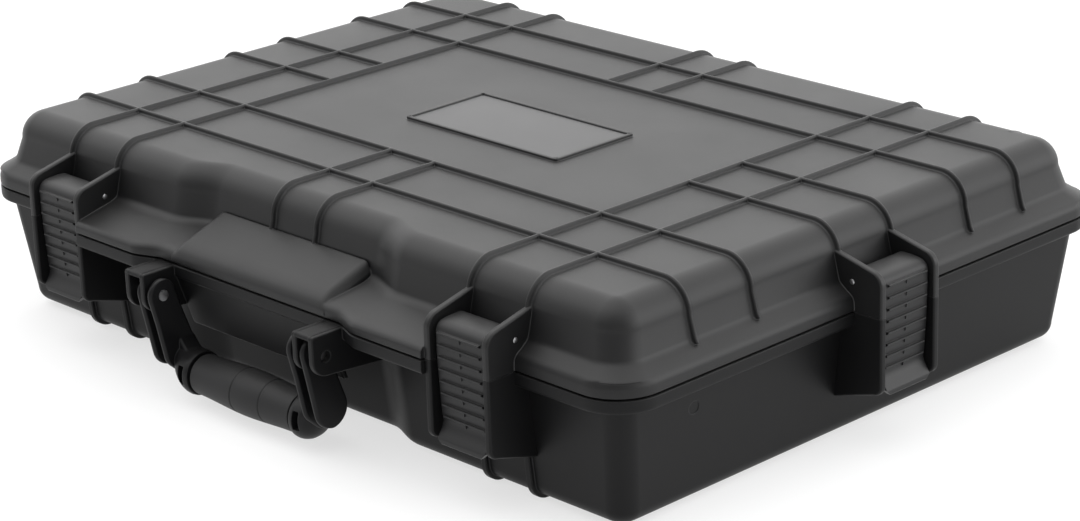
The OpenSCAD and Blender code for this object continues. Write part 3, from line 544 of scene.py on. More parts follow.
def lathe(profile, axis, steps, closed=True):
    """Spins a profile about an axis: a closed loop, or a line that starts and ends on the axis."""
    bm = bmesh.new()
    line = [bm.verts.new(place) for place in profile]
    ahead = line[1:] + line[:1] if closed else line[1:]
    edges = [bm.edges.new(pair) for pair in zip(line, ahead)]
    bmesh.ops.spin(
        bm, geom=line + edges, cent=(0, 0, 0), axis=axis, angle=math.tau, steps=steps, use_merge=True
    )
    bmesh.ops.remove_doubles(bm, verts=bm.verts, dist=0.001)
    bmesh.ops.recalc_face_normals(bm, faces=bm.faces)
    return bm


def rod(radius, length, steps=32, dome=0.0):
    """A round rod along Y about the origin, with ends that may be domed."""
    ends = [(0, length / 2 + dome), (radius * 0.6, length / 2 + dome * 0.8), (radius, length / 2)]
    profile = ends + [(r, -y) for r, y in reversed(ends)]
    return lathe([(r, y, 0) for r, y in profile], (0, 1, 0), steps, closed=False)


def tube(radius, bore, length, soft=0.5, steps=40):
    """A round tube along Y about the origin with softened rims."""
    half = length / 2
    profile = [
        (bore, -half), (radius - soft, -half), (radius, -half + soft),
        (radius, half - soft), (radius - soft, half), (bore, half),
    ]
    return lathe([(r, y, 0) for r, y in profile], (0, 1, 0), steps)


def make(name, parts, finish, body, stands_for, sharp=38):
    """Joins parts, brings them into the frame in metres and lets them ride on a body."""
    whole = bmesh.new()
    for part in parts:
        mesh = bpy.data.meshes.new("part")
        part.to_mesh(mesh)
        part.free()
        whole.from_mesh(mesh)
        bpy.data.meshes.remove(mesh)
    bmesh.ops.translate(whole, verts=whole.verts, vec=(0, PLAN_Y, 0))
    bmesh.ops.scale(whole, verts=whole.verts, vec=(MM, MM, MM))
    mesh = bpy.data.meshes.new(name)
    whole.to_mesh(mesh)
    whole.free()
    mesh.materials.append(finish)
    mesh.shade_smooth()
    mesh.set_sharp_from_angle(angle=math.radians(sharp))
    piece = bpy.data.objects.new(name, mesh)
    PIECES.objects.link(piece)
    even = piece.modifiers.new("even shading", "WEIGHTED_NORMAL")
    even.keep_sharp = True
    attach(piece, body)
    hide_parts(*stands_for)
    print(name, "has", len(mesh.polygons), "faces")
    return piece


# %% [markdown]
# ## The plan outline
# Both shells share one plan: a rectangle with round corners whose front wall steps back in the
# middle, behind the handle, while the rim there stands out as a shelf. A level of the case is this
# outline at a height, drawn in from the rim's edge by an inset, with a share of the shelf and a
# share of the recess. Sweeps of sine-like steps join the middle to the sides without a crease.

# %% The plan outline
HALF_L, HALF_W = 252.0, 184.0
RIM_R = 25.0
SEAM_Z = 74.0
TOP_Z = 115.0
FRONT_RECESS = 8.2
MID_HALF, MID_RUN = 62.0, 28.0
SHELF_OUT, SHELF_MID, SHELF_DROP = 19.5, 14.0, 2.2
LATCH_X, LATCH_Y = 160.0, 2.5
EAR_PITCH, EAR_T = 40.5, 4.0
SHELF_END = LATCH_X - EAR_PITCH / 2 - EAR_T / 2
CORNER_STEPS, SWEEP_STEPS, ARC_STEPS = 14, 14, 10


def shelf(x):
    """How far the rim stands out at a distance from the middle of the front."""
    if abs(x) >= SHELF_END + EAR_T / 2:
        return 0
    return SHELF_MID + (SHELF_OUT - SHELF_MID) * smooth((abs(x) - MID_HALF - 8) / (MID_RUN - 8))


def recess(x):
    """1 in the recessed middle of the front wall, 0 at its ends."""
    return 1 - smooth((abs(x) - MID_HALF) / MID_RUN)


sweep_x = [MID_HALF + MID_RUN * i / SWEEP_STEPS for i in range(SWEEP_STEPS + 1)]
sweep_x += [SHELF_END, SHELF_END + EAR_T / 2]
front_x = [-x for x in reversed(sweep_x)] + [-40.0, -20.0, 0.0, 20.0, 40.0] + sweep_x


def level(z, inset, push=0.0, back=0.0, drop=0.0, corner=None):
    """One closed outline of the plan, with its shares of the shelf (push) and the recess (back)."""
    r = RIM_R - inset if corner is None else corner
    ring = [
        (x, -(HALF_W - inset) - push * shelf(x) + back * FRONT_RECESS * recess(x),
         z - drop * shelf(x) / SHELF_OUT)
        for x in front_x
    ]
    middles = [(1, -1), (1, 1), (-1, 1), (-1, -1)]
    for quarter, (sx, sy) in enumerate(middles):
        for k in range(CORNER_STEPS + 1):
            a = math.radians(90 * (quarter - 1) + 90 * k / CORNER_STEPS)
            ring.append((
                sx * (HALF_L - inset - r) + r * math.cos(a),
                sy * (HALF_W - inset - r) + r * math.sin(a),
                z,
            ))
    return ring


def quarter_steps(steps=ARC_STEPS):
    """Angles of a quarter turn in even steps."""
    return [math.radians(90 * k / steps) for k in range(steps + 1)]


def rounding(z, inset, full, corner, radius, rise):
    """Levels over a shell's rounding of a full radius, or over a smaller one about the same middle."""
    return [
        level(z + rise * radius * math.sin(a), inset + full - radius * math.cos(a), 0, 1, 0,
              corner - full + radius * math.cos(a))
        for a in quarter_steps()
    ]


print("one outline has", len(level(SEAM_Z, 0)), "points")

# %% [markdown]
# ## The lid's body
# The lid is a shallow tray, upside down. Read its section from the top: a flat roof, a wide rounding
# of 15 mm, a wall with a little draft, a small hollow where the wall meets the rim, then the rim with
# its soft upper edge, the joint line, the groove for the seal, and back up the inside. Each line of
# the list below is one such level, so the whole section can be read as a drawing.

# %% The lid's body
LID_WALL_IN, LID_FOOT_IN, LID_FOOT_H = 12.8, 9.2, 13.0
LID_ROUND, LID_CORNER_R = 15.0, 16.0
LID_ARC_Z = TOP_Z - LID_ROUND
WALL = 3.5
RIM_H = 8.5
GROOVE_IN, GROOVE_OUT = 5.5, 10.5


def lid_outside():
    """Levels of the lid's outer face, from the roof down to the joint."""
    foot, lip = SEAM_Z + LID_FOOT_H, SEAM_Z + RIM_H
    roof = rounding(LID_ARC_Z, LID_WALL_IN, LID_ROUND, LID_CORNER_R, LID_ROUND, 1)
    return roof[::-1] + [
        level(foot + 2.6, LID_FOOT_IN + 0.85, 0, 1, 0, LID_CORNER_R),
        level(foot + 1.1, LID_FOOT_IN + 0.25, 0, 1, 0, LID_CORNER_R),
        level(foot + 0.1, LID_FOOT_IN - 0.7, 0.04, 0.96, 0.2, LID_CORNER_R),
        level(foot - 0.7, LID_FOOT_IN - 1.7, 0.15, 0.85, 0.6, LID_CORNER_R + 0.4),
        level(lip + 1.5, 4.4, 0.96, 0, SHELF_DROP + 0.5, LID_CORNER_R + 1.5),
        level(lip + 0.7, 2.9, 0.98, 0, SHELF_DROP + 0.3, LID_CORNER_R + 2.5),
        level(lip - 0.1, 1.9, 1, 0, SHELF_DROP, LID_CORNER_R + 3.5),
        level(lip - 1.0, 1.1, 1, 0, SHELF_DROP - 0.1),
        level(lip - 2.2, 0.45, 1, 0, SHELF_DROP - 0.5),
        level(lip - 3.6, 0.1, 1, 0, SHELF_DROP - 1.2),
        level(SEAM_Z + 1.4, 0, 1),
        level(SEAM_Z + 0.8, 0.15, 1),
        level(SEAM_Z + 0.5, 0.6, 1),
    ]


def lid_inside():
    """Levels from the joint line inward over the seal groove and up to the ceiling."""
    low, high = SEAM_Z + 0.05, SEAM_Z + 4
    return [
        level(SEAM_Z + 0.5, 2.6, 1),
        level(low, 3, 1),
        level(low, GROOVE_IN), level(high, GROOVE_IN),
        level(high, GROOVE_OUT), level(low, GROOVE_OUT),
        level(low, LID_FOOT_IN + WALL, 0, 1),
        level(SEAM_Z + 1, LID_FOOT_IN + WALL + 0.5, 0, 1, 0, LID_CORNER_R - WALL),
        level(SEAM_Z + 14.5, LID_FOOT_IN + WALL + 0.6, 0, 1, 0, LID_CORNER_R - WALL),
    ] + rounding(LID_ARC_Z, LID_WALL_IN, LID_ROUND, LID_CORNER_R, LID_ROUND - WALL, 1)


lid_body = loft(lid_outside() + lid_inside())
print("the lid's body has", len(lid_body.faces), "faces")

# %% [markdown]
# ## Ribs over the lid
# Slim ribs stiffen the roof. A moulded rib has a round crest and a small fillet at its foot, because
# sharp corners would stick in the mould. So the rib is a section of a dozen points that is lofted
# along the lid's own outline and turned to stand square on it all the way over the rounding.

# %% Ribs over the lid
RIB_H, RIB_HALF = 2.4, 1.15
RIB_SIDE = [(2.1, -0.6), (1.45, 0.2), (RIB_HALF, 0.9), (1.0, 1.8), (0.62, 2.25), (0, RIB_H)]
RIB_SECTION = [(-w, h) for w, h in RIB_SIDE] + [(w, h) for w, h in reversed(RIB_SIDE[:-1])]


def rib(path, section=RIB_SECTION):
    """Lofts the section along a path of distance, height, outward normal and height factor."""
    return loft([
        [(u + h * tall * nu, w, z + h * tall * nz) for w, h in section]
        for u, z, nu, nz, tall in path
    ])


def lid_side(half):
    """The rib's path from the wall's foot up to the edge of the flat roof."""
    middle = half - LID_WALL_IN - LID_ROUND
    return [
        (half - LID_FOOT_IN + 0.9, SEAM_Z + LID_FOOT_H - 0.4, 0.96, 0.28, 1),
        (half - LID_FOOT_IN - 0.5, SEAM_Z + LID_FOOT_H + 2, 0.96, 0.28, 1),
    ] + [
        (middle + LID_ROUND * math.cos(a), LID_ARC_Z + LID_ROUND * math.sin(a),
         math.cos(a), math.sin(a), 1)
        for a in quarter_steps(12)
    ]


def rib_across(half):
    """A rib over the whole lid, which is as wide on both sides of its middle."""
    far = [(-u, z, -nu, nz, tall) for u, z, nu, nz, tall in reversed(lid_side(half))]
    return rib(lid_side(half) + far)


def rib_to(half, stop):
    """A rib from one edge of the lid to a stop, measured from the middle."""
    return rib(lid_side(half) + [(stop, TOP_Z, 0, 1, 1)])


def rib_fading(half):
    """A rib on the wall that sinks away over the rounding."""
    path = lid_side(half)
    return rib([
        (u, z, nu, nz, 1 if nz < 0.3 else max(1 - (nz - 0.3) / 0.7, 0.05)) for u, z, nu, nz, _ in path
    ])


RIB_Y_OUTER, RIB_Y_INNER, RIB_X_MID, RIB_X_REAR = 124.5, 81.3, 17.0, 210.0
lid_ribs = []
for side in (-1, 1):
    for edge in (-1, 1):
        over = at(side * LATCH_X + edge * EAR_PITCH / 2, facing=90)
        lid_ribs.append(turned(rib_across(HALF_W), over))
    for y in (RIB_Y_OUTER, RIB_Y_INNER):
        lid_ribs.append(turned(rib_across(HALF_L), at(0, side * y)))
    x = side * RIB_X_MID
    lid_ribs.append(turned(rib_to(HALF_W - FRONT_RECESS, RIB_Y_INNER), at(x, facing=-90)))
    lid_ribs.append(turned(rib_to(HALF_W, RIB_Y_INNER), at(x, facing=90)))
    for edge in (-1, 1):
        beside = at(0, LATCH_Y + edge * EAR_PITCH / 2, 0, 90 - 90 * side)
        lid_ribs.append(turned(rib_to(HALF_L, LATCH_X - EAR_PITCH / 2), beside))
    lid_ribs.append(turned(rib_fading(HALF_W), at(side * RIB_X_REAR, facing=90)))
print("ribs on the lid:", len(lid_ribs))

# %% [markdown]
# ## Latch stations
# The four latches are the same, so they are drawn once, at the middle of the right end of the plan,
# and a matrix carries them to their places. Two plates, the ears, stand out on the lid and two on
# the base, and the lever lies between them.

# %% Latch stations
STATION_NAMES = ("front_left", "front_right", "side_left", "side_right")
EAR_OUT, EAR_TOP_H, EAR_FALL, EAR_LOW_H = 17.2, 29.5, 6.0, 41.0
EAR_ROUND, EAR_LOW_ROUND, EAR_JOINT = 8.0, 5.0, 0.12
BASE_LIP_H, BASE_IN, BASE_DRAFT = 7.5, 8.5, 6.5
BASE_ROUND, BASE_CORNER_R, FOOT_H = 9.0, 12.0, 2.2
BASE_ARC_Z = FOOT_H + BASE_ROUND


def station(k):
    """Carries a latch from the plan's right edge to its station."""
    return (
        at(-LATCH_X, -HALF_W, 0, -90), at(LATCH_X, -HALF_W, 0, -90),
        at(-HALF_L, LATCH_Y, 0, 180), at(HALF_L, LATCH_Y, 0),
    )[k]


def round_corner(u, z, radius, start, end, steps=8):
    """Points of an arc about a middle, between two angles in degrees."""
    return [
        (u + radius * math.cos(math.radians(start + (end - start) * k / steps)),
         z + radius * math.sin(math.radians(start + (end - start) * k / steps)))
        for k in range(steps + 1)
    ]


def lid_ear_outline():
    """Side view of a lid ear: its upper edge falls towards the front."""
    top = SEAM_Z + EAR_TOP_H
    back = -LID_FOOT_IN - 3.6 - 1
    lean = math.degrees(math.atan(EAR_FALL / (EAR_OUT - EAR_ROUND - back)))
    corner_z = top - EAR_FALL - EAR_ROUND * math.cos(math.radians(lean))
    return (
        [(-GROOVE_IN + 1, SEAM_Z + EAR_JOINT), (EAR_OUT, SEAM_Z + EAR_JOINT)]
        + round_corner(EAR_OUT - EAR_ROUND, corner_z, EAR_ROUND, 0, 90 - lean)
        + [(back, top), (-LID_FOOT_IN - 1, SEAM_Z + LID_FOOT_H), (-GROOVE_IN, SEAM_Z + RIM_H)]
    )


def base_ear_outline():
    """Side view of a base ear: straight in front, and swept back to the wall below."""
    top, low = SEAM_Z - EAR_JOINT, SEAM_Z - EAR_LOW_H
    foot = low - 7.5
    share = (foot - BASE_ARC_Z) / (SEAM_Z - BASE_LIP_H - BASE_ARC_Z)
    corner = round_corner(EAR_OUT - EAR_LOW_ROUND, low + EAR_LOW_ROUND, EAR_LOW_ROUND, 0, -90)
    wall = -BASE_IN - BASE_DRAFT * (1 - share) - 1
    return (
        [(-BASE_IN - 1, top - BASE_LIP_H), (-GROOVE_IN + 1, top), (EAR_OUT, top)]
        + corner + [(wall, foot)]
    )


def off_joint(edge):
    """True for an edge that doesn't lie in the joint between lid and base."""
    return any(abs(vert.co.z - SEAM_Z) > 2 * EAR_JOINT for vert in edge.verts)


def ears(outline, soft=1.1):
    """Two ear plates with rounded edges, which stay crisp where lid and base meet."""
    plates = [slab(outline, EAR_T, edge * EAR_PITCH / 2) for edge in (-1, 1)]
    return [soften(plate, soft, 4, only=off_joint) for plate in plates]


lid_ears = [
    turned(ear, station(k)) for k in range(4) for ear in ears(lid_ear_outline())
]
print("ears on the lid:", len(lid_ears))

# %% [markdown]
# ## The platform and the plate's frame
# In the middle of the front the rim carries a raised platform, like a desk that slopes to the front,
# with bevelled ends. It is lofted along the case through a few sections, whose upper edge sinks at
# both ends. On the roof a thin bead frames the plate: a block whose top is inset and pushed down.

# %% The platform and the plate's frame
PLATFORM_HALF, PLATFORM_BACK_H, PLATFORM_FRONT_H = 61.0, 21.0, 10.0
FRAME_L, FRAME_W, FRAME_X, FRAME_Y = 118.0, 59.0, 3.0, -7.0
BEAD_W, BEAD_H = 2.4, 1.5


def platform_section(x, fall):
    """Section of the platform at a place along the case, sunk by a fall at its ends."""
    back = HALF_W - LID_FOOT_IN - FRONT_RECESS - 1
    rim = HALF_W + SHELF_MID
    side = [
        (back, SEAM_Z + 11),
        (back, SEAM_Z + PLATFORM_BACK_H - fall),
        (back + 3, SEAM_Z + PLATFORM_BACK_H - 1.2 - fall),
        (rim - 9, SEAM_Z + PLATFORM_FRONT_H + 2.2 - fall * 0.8),
        (rim - 5.5, SEAM_Z + PLATFORM_FRONT_H + 0.6 - fall * 0.7),
        (rim - 3, SEAM_Z + PLATFORM_FRONT_H - 1.0 - fall * 0.5),
        (rim - 1.2, SEAM_Z + PLATFORM_FRONT_H - 2.9 - fall * 0.3),
        (rim - 0.2, SEAM_Z + PLATFORM_FRONT_H - 5.0 - fall * 0.1),
        (rim + 0.12, SEAM_Z + 3.4),
        (rim + 0.12, SEAM_Z + 1.4),
        (rim - 6, SEAM_Z + 1.4),
    ]
    return [(x, -u, z) for u, z in side]


def upright_edge(edge):
    """True for an edge that rises or falls."""
    return abs(edge.verts[0].co.z - edge.verts[1].co.z) > 0.5


def framed(trim, low, high):
    """A block on the lid, as large as the plate's frame less a trim."""
    return loft([
        [(FRAME_X + sx * (FRAME_L / 2 - trim), FRAME_Y + sy * (FRAME_W / 2 - trim), z)
         for sx, sy in ((-1, -1), (1, -1), (1, 1), (-1, 1))]
        for z in (low, high)
    ])


BEVEL = [(0, 6.2), (0.8, 4.7), (2.0, 2.6), (2.9, 1.2), (3.8, 0.4), (5.0, 0.06), (6.0, 0.0)]
ends = [(PLATFORM_HALF - inward, fall) for inward, fall in BEVEL]
platform = loft(
    [platform_section(-x, fall) for x, fall in ends]
    + [platform_section(x, fall) for x, fall in reversed(ends)]
)

frame_block = soften(framed(0, TOP_Z - 1, TOP_Z + BEAD_H), 2.0, 5, only=upright_edge)
roof = max(frame_block.faces, key=lambda face: face.calc_center_median().z)
bmesh.ops.inset_region(frame_block, faces=[roof], thickness=BEAD_W, depth=0)
bmesh.ops.inset_region(frame_block, faces=[roof], thickness=0.25, depth=-BEAD_H)
soften(frame_block, 0.5, 2, sharper=50, only=lambda edge: min(v.co.z for v in edge.verts) > TOP_Z + 1)
print("platform and frame:", len(platform.faces), "and", len(frame_block.faces), "faces")

# %% [markdown]
# ## Hinges
# Each hinge has a wide knuckle on the lid between two narrow ones on the base, all on one steel pin.
# A knuckle is a tube on a web. The tube is spun from its section, so its bore is really open, and the
# web ends inside the tube's wall.

# %% Hinges
HINGE_X, HINGE_OUT, HINGE_DROP = 160.0, 8.0, 11.0
KNUCKLE_R, HINGE_L, HINGE_MID_L, HINGE_GAP, HINGE_BORE = 6.5, 40.0, 24.0, 0.3, 2.05
HINGE_Z = SEAM_Z - HINGE_DROP


def knuckle(length, middle, web):
    """A tube on its axis and the web that carries it, drawn outward from the rim's edge."""
    return [
        turned(tube(KNUCKLE_R, HINGE_BORE, length), at(HINGE_OUT, middle, HINGE_Z)),
        slab(web, length - 0.6, middle, 0.6, 2),
    ]


LID_WEB = [
    (-GROOVE_IN + 1, SEAM_Z + 0.7), (HINGE_OUT - KNUCKLE_R - 0.4, SEAM_Z + 0.7),
    (HINGE_OUT - KNUCKLE_R + 0.6, HINGE_Z + 2.4), (HINGE_OUT - 2.4, HINGE_Z + 3.6),
    (HINGE_OUT + 3.4, HINGE_Z + 3.4), (HINGE_OUT + 5.6, HINGE_Z + 2.6),
    (HINGE_OUT - 0.5, SEAM_Z + 4), (-1, SEAM_Z + RIM_H - 1.5), (-GROOVE_IN + 1, SEAM_Z + RIM_H - 2),
]
BASE_WEB = [
    (-BASE_IN - 1.5, HINGE_Z - 12), (HINGE_OUT - 2, HINGE_Z - KNUCKLE_R + 0.5),
    (HINGE_OUT - 3.2, HINGE_Z - 2.4), (HINGE_OUT - 3.6, HINGE_Z + 2.4),
    (HINGE_OUT - 2.2, HINGE_Z + KNUCKLE_R - 0.6), (-2, SEAM_Z - BASE_LIP_H + 2),
    (-BASE_IN - 1.5, SEAM_Z - BASE_LIP_H + 2),
]
lid_knuckles = [
    turned(part, at(side * HINGE_X, HALF_W, 0, 90))
    for side in (-1, 1) for part in knuckle(HINGE_MID_L, 0, LID_WEB)
]
SIDE_L = (HINGE_L - HINGE_MID_L) / 2 - HINGE_GAP
base_knuckles = [
    turned(part, at(side * HINGE_X, HALF_W, 0, 90))
    for side in (-1, 1) for edge in (-1, 1)
    for part in knuckle(SIDE_L, edge * (HINGE_L - SIDE_L) / 2, BASE_WEB)
]
make(
    "lid_moulding", [lid_body, *lid_ribs, *lid_ears, platform, frame_block, *lid_knuckles],
    lid_black, "lid", ["lid_shell"],
)

# %% [markdown]
# ## The base's body
# The base is the deeper tray. Its rim is a flat flange under the joint, its wall leans in by a few
# degrees so that it leaves the mould, and the bottom edge is a smaller rounding. A round gate mark,
# where the plastic entered the mould, shows on the right end wall, and is cut as a shallow dish.

# %% The base's body
def base_outside():
    """Levels from the bottom up to the joint line."""
    lip = SEAM_Z - BASE_LIP_H
    bottom = rounding(BASE_ARC_Z, BASE_IN + BASE_DRAFT, BASE_ROUND, BASE_CORNER_R, BASE_ROUND, -1)
    return bottom[::-1] + [
        level(lip - 3.2, BASE_IN + 0.25, 0, 1, 0, BASE_CORNER_R),
        level(lip - 1.4, BASE_IN - 0.1, 0, 1, 0, BASE_CORNER_R),
        level(lip - 0.3, BASE_IN - 0.9, 0.03, 0.97, 0, BASE_CORNER_R),
        level(lip, BASE_IN - 2.0, 0.1, 0.9, 0, BASE_CORNER_R + 1),
        level(lip, 1.6, 1), level(lip + 0.3, 0.7, 1), level(lip + 0.9, 0.25, 1),
        level(lip + 2, 0, 1), level(SEAM_Z - 1.4, 0, 1), level(SEAM_Z - 0.8, 0.15, 1),
        level(SEAM_Z - 0.5, 0.6, 1),
    ]


def base_inside():
    """Levels over the sealing tongue and down the inside to the floor."""
    high, tip = SEAM_Z - 0.05, SEAM_Z + 1.2
    return [
        level(SEAM_Z - 0.5, 2.6, 1), level(high, 3, 1), level(high, 6.5),
        level(tip - 0.3, 6.6), level(tip, 7.0), level(tip, 9.0), level(tip - 0.3, 9.4),
        level(high, 9.5), level(high, BASE_IN + WALL - 0.4, 0, 1),
        level(SEAM_Z - 0.5, BASE_IN + WALL, 0, 1, 0, BASE_CORNER_R - WALL),
    ] + rounding(
        BASE_ARC_Z, BASE_IN + BASE_DRAFT, BASE_ROUND, BASE_CORNER_R, BASE_ROUND - WALL, -1
    )


GATE_D, GATE_DROP = 7.0, 20.5
base_body = loft(base_outside() + base_inside())
lean = math.atan(BASE_DRAFT / (SEAM_Z - BASE_LIP_H - BASE_ARC_Z))
gate = rod(GATE_D / 2, 3.0, 40)
turned(gate, at(HALF_L - BASE_IN - 0.2, -RIB_Y_OUTER, SEAM_Z - GATE_DROP)
       @ Matrix.Rotation(lean, 4, "Y") @ at(facing=90))
base_body = carve(base_body, gate)
print("the base's body has", len(base_body.faces), "faces")

# %% [markdown]
# ## Foot ribs, skirt and brackets
# Short ribs run down the front and rear walls and under the bottom, and the case stands on them. In
# front, a skirt leans back under the rim and closes the space behind the handle, and two box-shaped
# brackets beside it hold the handle's pins. A bracket is two plates and a roof, and each plate has
# its bore cut before the plates are joined.

# %% Foot ribs, skirt and brackets
FOOT_OFF, FOOT_L, FOOT_TOP, FOOT_HALF = 16.0, 20.0, 30.0, 2.0
SKIRT_H, SKIRT_LEAN, SKIRT_T = 36.0, 10.5, 3.0
BRACKET_X, BRACKET_W, BRACKET_T, BRACKET_OUT, BRACKET_H = 59.5, 15.8, 3.5, 34.5, 23.0
BRACKET_SINK, BRACKET_ROUND = 0.7, 9.0
PIN_OUT, PIN_DROP, PIN_D, PIN_PLAY = 26.2, 12.6, 6.0, 0.1
PIN_Y, PIN_Z = -HALF_W - PIN_OUT, SEAM_Z - PIN_DROP
FOOT_SECTION = [
    (-FOOT_HALF - 0.5, -0.6), (-FOOT_HALF, 0.4), (-FOOT_HALF, 1.7), (-FOOT_HALF + 0.5, FOOT_H),
    (FOOT_HALF - 0.5, FOOT_H), (FOOT_HALF, 1.7), (FOOT_HALF, 0.4), (FOOT_HALF + 0.5, -0.6),
]


def foot_rib():
    """A rib down the wall and under the bottom, drawn outward along X."""
    middle = HALF_W - BASE_IN - BASE_DRAFT - BASE_ROUND
    share = (FOOT_TOP - BASE_ARC_Z) / (SEAM_Z - BASE_LIP_H - BASE_ARC_Z)
    top_u = HALF_W - BASE_IN - BASE_DRAFT * (1 - share)
    path = [(top_u + 0.2, FOOT_TOP + 4, 1, -0.1, 0.05), (top_u, FOOT_TOP, 1, -0.1, 1)]
    path += [
        (middle + BASE_ROUND * math.cos(a), BASE_ARC_Z - BASE_ROUND * math.sin(a),
         math.cos(a), -math.sin(a), 1)
        for a in quarter_steps()
    ]
    path += [(middle - FOOT_L, FOOT_H, 0, -1, 1), (middle - FOOT_L - 3, FOOT_H, 0, -1, 0.05)]
    return rib(path, FOOT_SECTION)


foot_ribs = [
    turned(foot_rib(), at(side * LATCH_X + edge * FOOT_OFF, facing=wall))
    for side in (-1, 1) for edge in (-1, 1) for wall in (-90, 90)
]

skirt_top, skirt_low = SEAM_Z - BASE_LIP_H + 2, SEAM_Z - SKIRT_H
skirt_face = HALF_W + SHELF_MID - 0.5
skirt = turned(slab([
    (skirt_face, skirt_top), (skirt_face - SKIRT_LEAN, skirt_low),
    (skirt_face - SKIRT_LEAN - SKIRT_T, skirt_low), (skirt_face - SKIRT_T, skirt_top),
], 2 * BRACKET_X + 2, 0, 0.8), at(facing=-90))


def bracket_outline():
    """Side view of a bracket plate."""
    out, top, low = HALF_W + BRACKET_OUT, SEAM_Z - BRACKET_SINK, SEAM_Z - BRACKET_H
    back = HALF_W - BASE_IN - FRONT_RECESS - 1
    return (
        [(out - 1, top), (out, top - 1)]
        + round_corner(out - BRACKET_ROUND, low + BRACKET_ROUND, BRACKET_ROUND, 0, -90)
        + [(back, low - 3), (back, SEAM_Z - BASE_LIP_H), (HALF_W, SEAM_Z - BASE_LIP_H), (HALF_W, top)]
    )


def bracket_plate(x, length):
    """One plate of a bracket with the bore for the handle's pin."""
    plate = turned(slab(bracket_outline(), length, 0, 0.7), at(x, facing=-90))
    bore = turned(rod(PIN_D / 2 + PIN_PLAY, length + 4, 48), at(x, PIN_Y, PIN_Z, -90))
    return carve(plate, bore)


SLOT_IN, SLOT_OUT = BRACKET_X + BRACKET_T, BRACKET_X + BRACKET_W - BRACKET_T
brackets = []
for side in (-1, 1):
    for x in (BRACKET_X, SLOT_OUT):
        brackets.append(bracket_plate(side * (x + BRACKET_T / 2), BRACKET_T))
    top, out, web = SEAM_Z - BRACKET_SINK, HALF_W + BRACKET_OUT, HALF_W + SHELF_MID
    middle = at(side * (SLOT_IN + SLOT_OUT) / 2, facing=-90)
    brackets.append(turned(slab([
        (HALF_W + 2, top - 3), (out - 1, top - 3), (out, top - 2), (out, top - 1), (out - 1, top),
        (HALF_W + 2, top),
    ], SLOT_OUT - SLOT_IN + 3, 0, 0.4, 2), middle))
    brackets.append(turned(slab([
        (web - 4, SEAM_Z - BRACKET_H), (web - 1, SEAM_Z - BRACKET_H),
        (web, SEAM_Z - BASE_LIP_H + 1), (web - 3, SEAM_Z - BASE_LIP_H + 1),
    ], SLOT_OUT - SLOT_IN + 1, 0, 0.4, 2), middle))
make(
    "base_moulding", [base_body, *foot_ribs, skirt, *brackets, *base_knuckles],
    base_painted_shade_black, "base", ["base_shell"],
)

# %% [markdown]
# ## The base's ears and catch bars
# Below each lid ear stands a base ear, and a bar between the two is what a lever closes on. They are
# one moulding with the base on the real case, and stay pieces of their own here because the frame
# has them so.

# %% The base's ears and catch bars
CATCH_OUT, CATCH_H = 4.0, 14.0
CATCH_BAR = [
    (-BASE_IN - 2, SEAM_Z - CATCH_H + 5), (CATCH_OUT - 1, SEAM_Z - CATCH_H + 4),
    (CATCH_OUT, SEAM_Z - CATCH_H + 3), (CATCH_OUT, SEAM_Z - CATCH_H - 3),
    (CATCH_OUT - 1, SEAM_Z - CATCH_H - 4), (-BASE_IN - 2, SEAM_Z - CATCH_H - 8),
]
for k, place in enumerate(STATION_NAMES):
    parts = ears(base_ear_outline()) + [slab(CATCH_BAR, EAR_PITCH - EAR_T + 1, 0, 0.5, 2)]
    make(
        "base_ears_" + place, [turned(part, station(k)) for part in parts],
        base_painted_shade_black, "base", ["latch_catch_" + place],
    )

# %% [markdown]
# ## Levers
# A lever hangs on its pin between the ears. Its face is ridged for the thumb: thin ridges across with
# a small mould tick in the middle of each, and it ends in a flared lip with cut corners.
# The section is lofted across the lever, and the ridges, which are slim blocks with softened edges,
# sink into the face.

# %% Levers
LEVER_W, LEVER_OUT, LEVER_L, LEVER_T, BARREL_R = 33.5, 14.0, 58.0, 3.6, 5.0
LATCH_PIN_IN, LATCH_PIN_H, LATCH_PIN_D = -1.5, 15.6, 3.0
RIDGES, RIDGE_TOP, RIDGE_PITCH, RIDGE_L, RIDGE_H = 8, -0.8, 6.25, 29.0, 1.5
NOSE_CLEAR, LEVER_SHIFT, CORNER_CUT = 0.3, 0.5, 4.4
FACE = LEVER_OUT - LATCH_PIN_IN


def lever_outline():
    """Side view of a lever from its pin: outward over a rounded cap, and down to its lip."""
    back = FACE - LEVER_T
    nose, nose_z = CATCH_OUT + NOSE_CLEAR - LATCH_PIN_IN, LATCH_PIN_H + CATCH_H
    barrel = round_corner(0, 0, BARREL_R, 270, 90, 14)
    return barrel + [
        (3.5, 5.0), (7.0, 4.8), (FACE - 5.5, 4.5), (FACE - 3.6, 4.1), (FACE - 2.2, 3.4),
        (FACE - 1.1, 2.4), (FACE - 0.4, 1.2), (FACE, -0.2),
        (FACE, -12), (FACE - 0.4, -22), (FACE - 0.8, -30), (FACE - 1.6, -LEVER_L + 15),
        (FACE - 2.2, -LEVER_L + 12), (FACE - 2.2, -LEVER_L + 10.2), (FACE - 1.3, -LEVER_L + 7.8),
        (FACE + 0.3, -LEVER_L + 5.2), (FACE + 1.7, -LEVER_L + 3.1), (FACE + 2, -LEVER_L + 2.2),
        (FACE + 2, -LEVER_L), (FACE - 0.5, -LEVER_L), (back - 0.6, -LEVER_L + 8),
        (back - 1.4, -nose_z - 3.5), (nose + 0.6, -nose_z - 3.5), (nose, -nose_z - 2.5),
        (nose, -nose_z + 1.5), (back - 0.4, -nose_z + 4.5), (back, -9), (back - 3, -5),
    ]


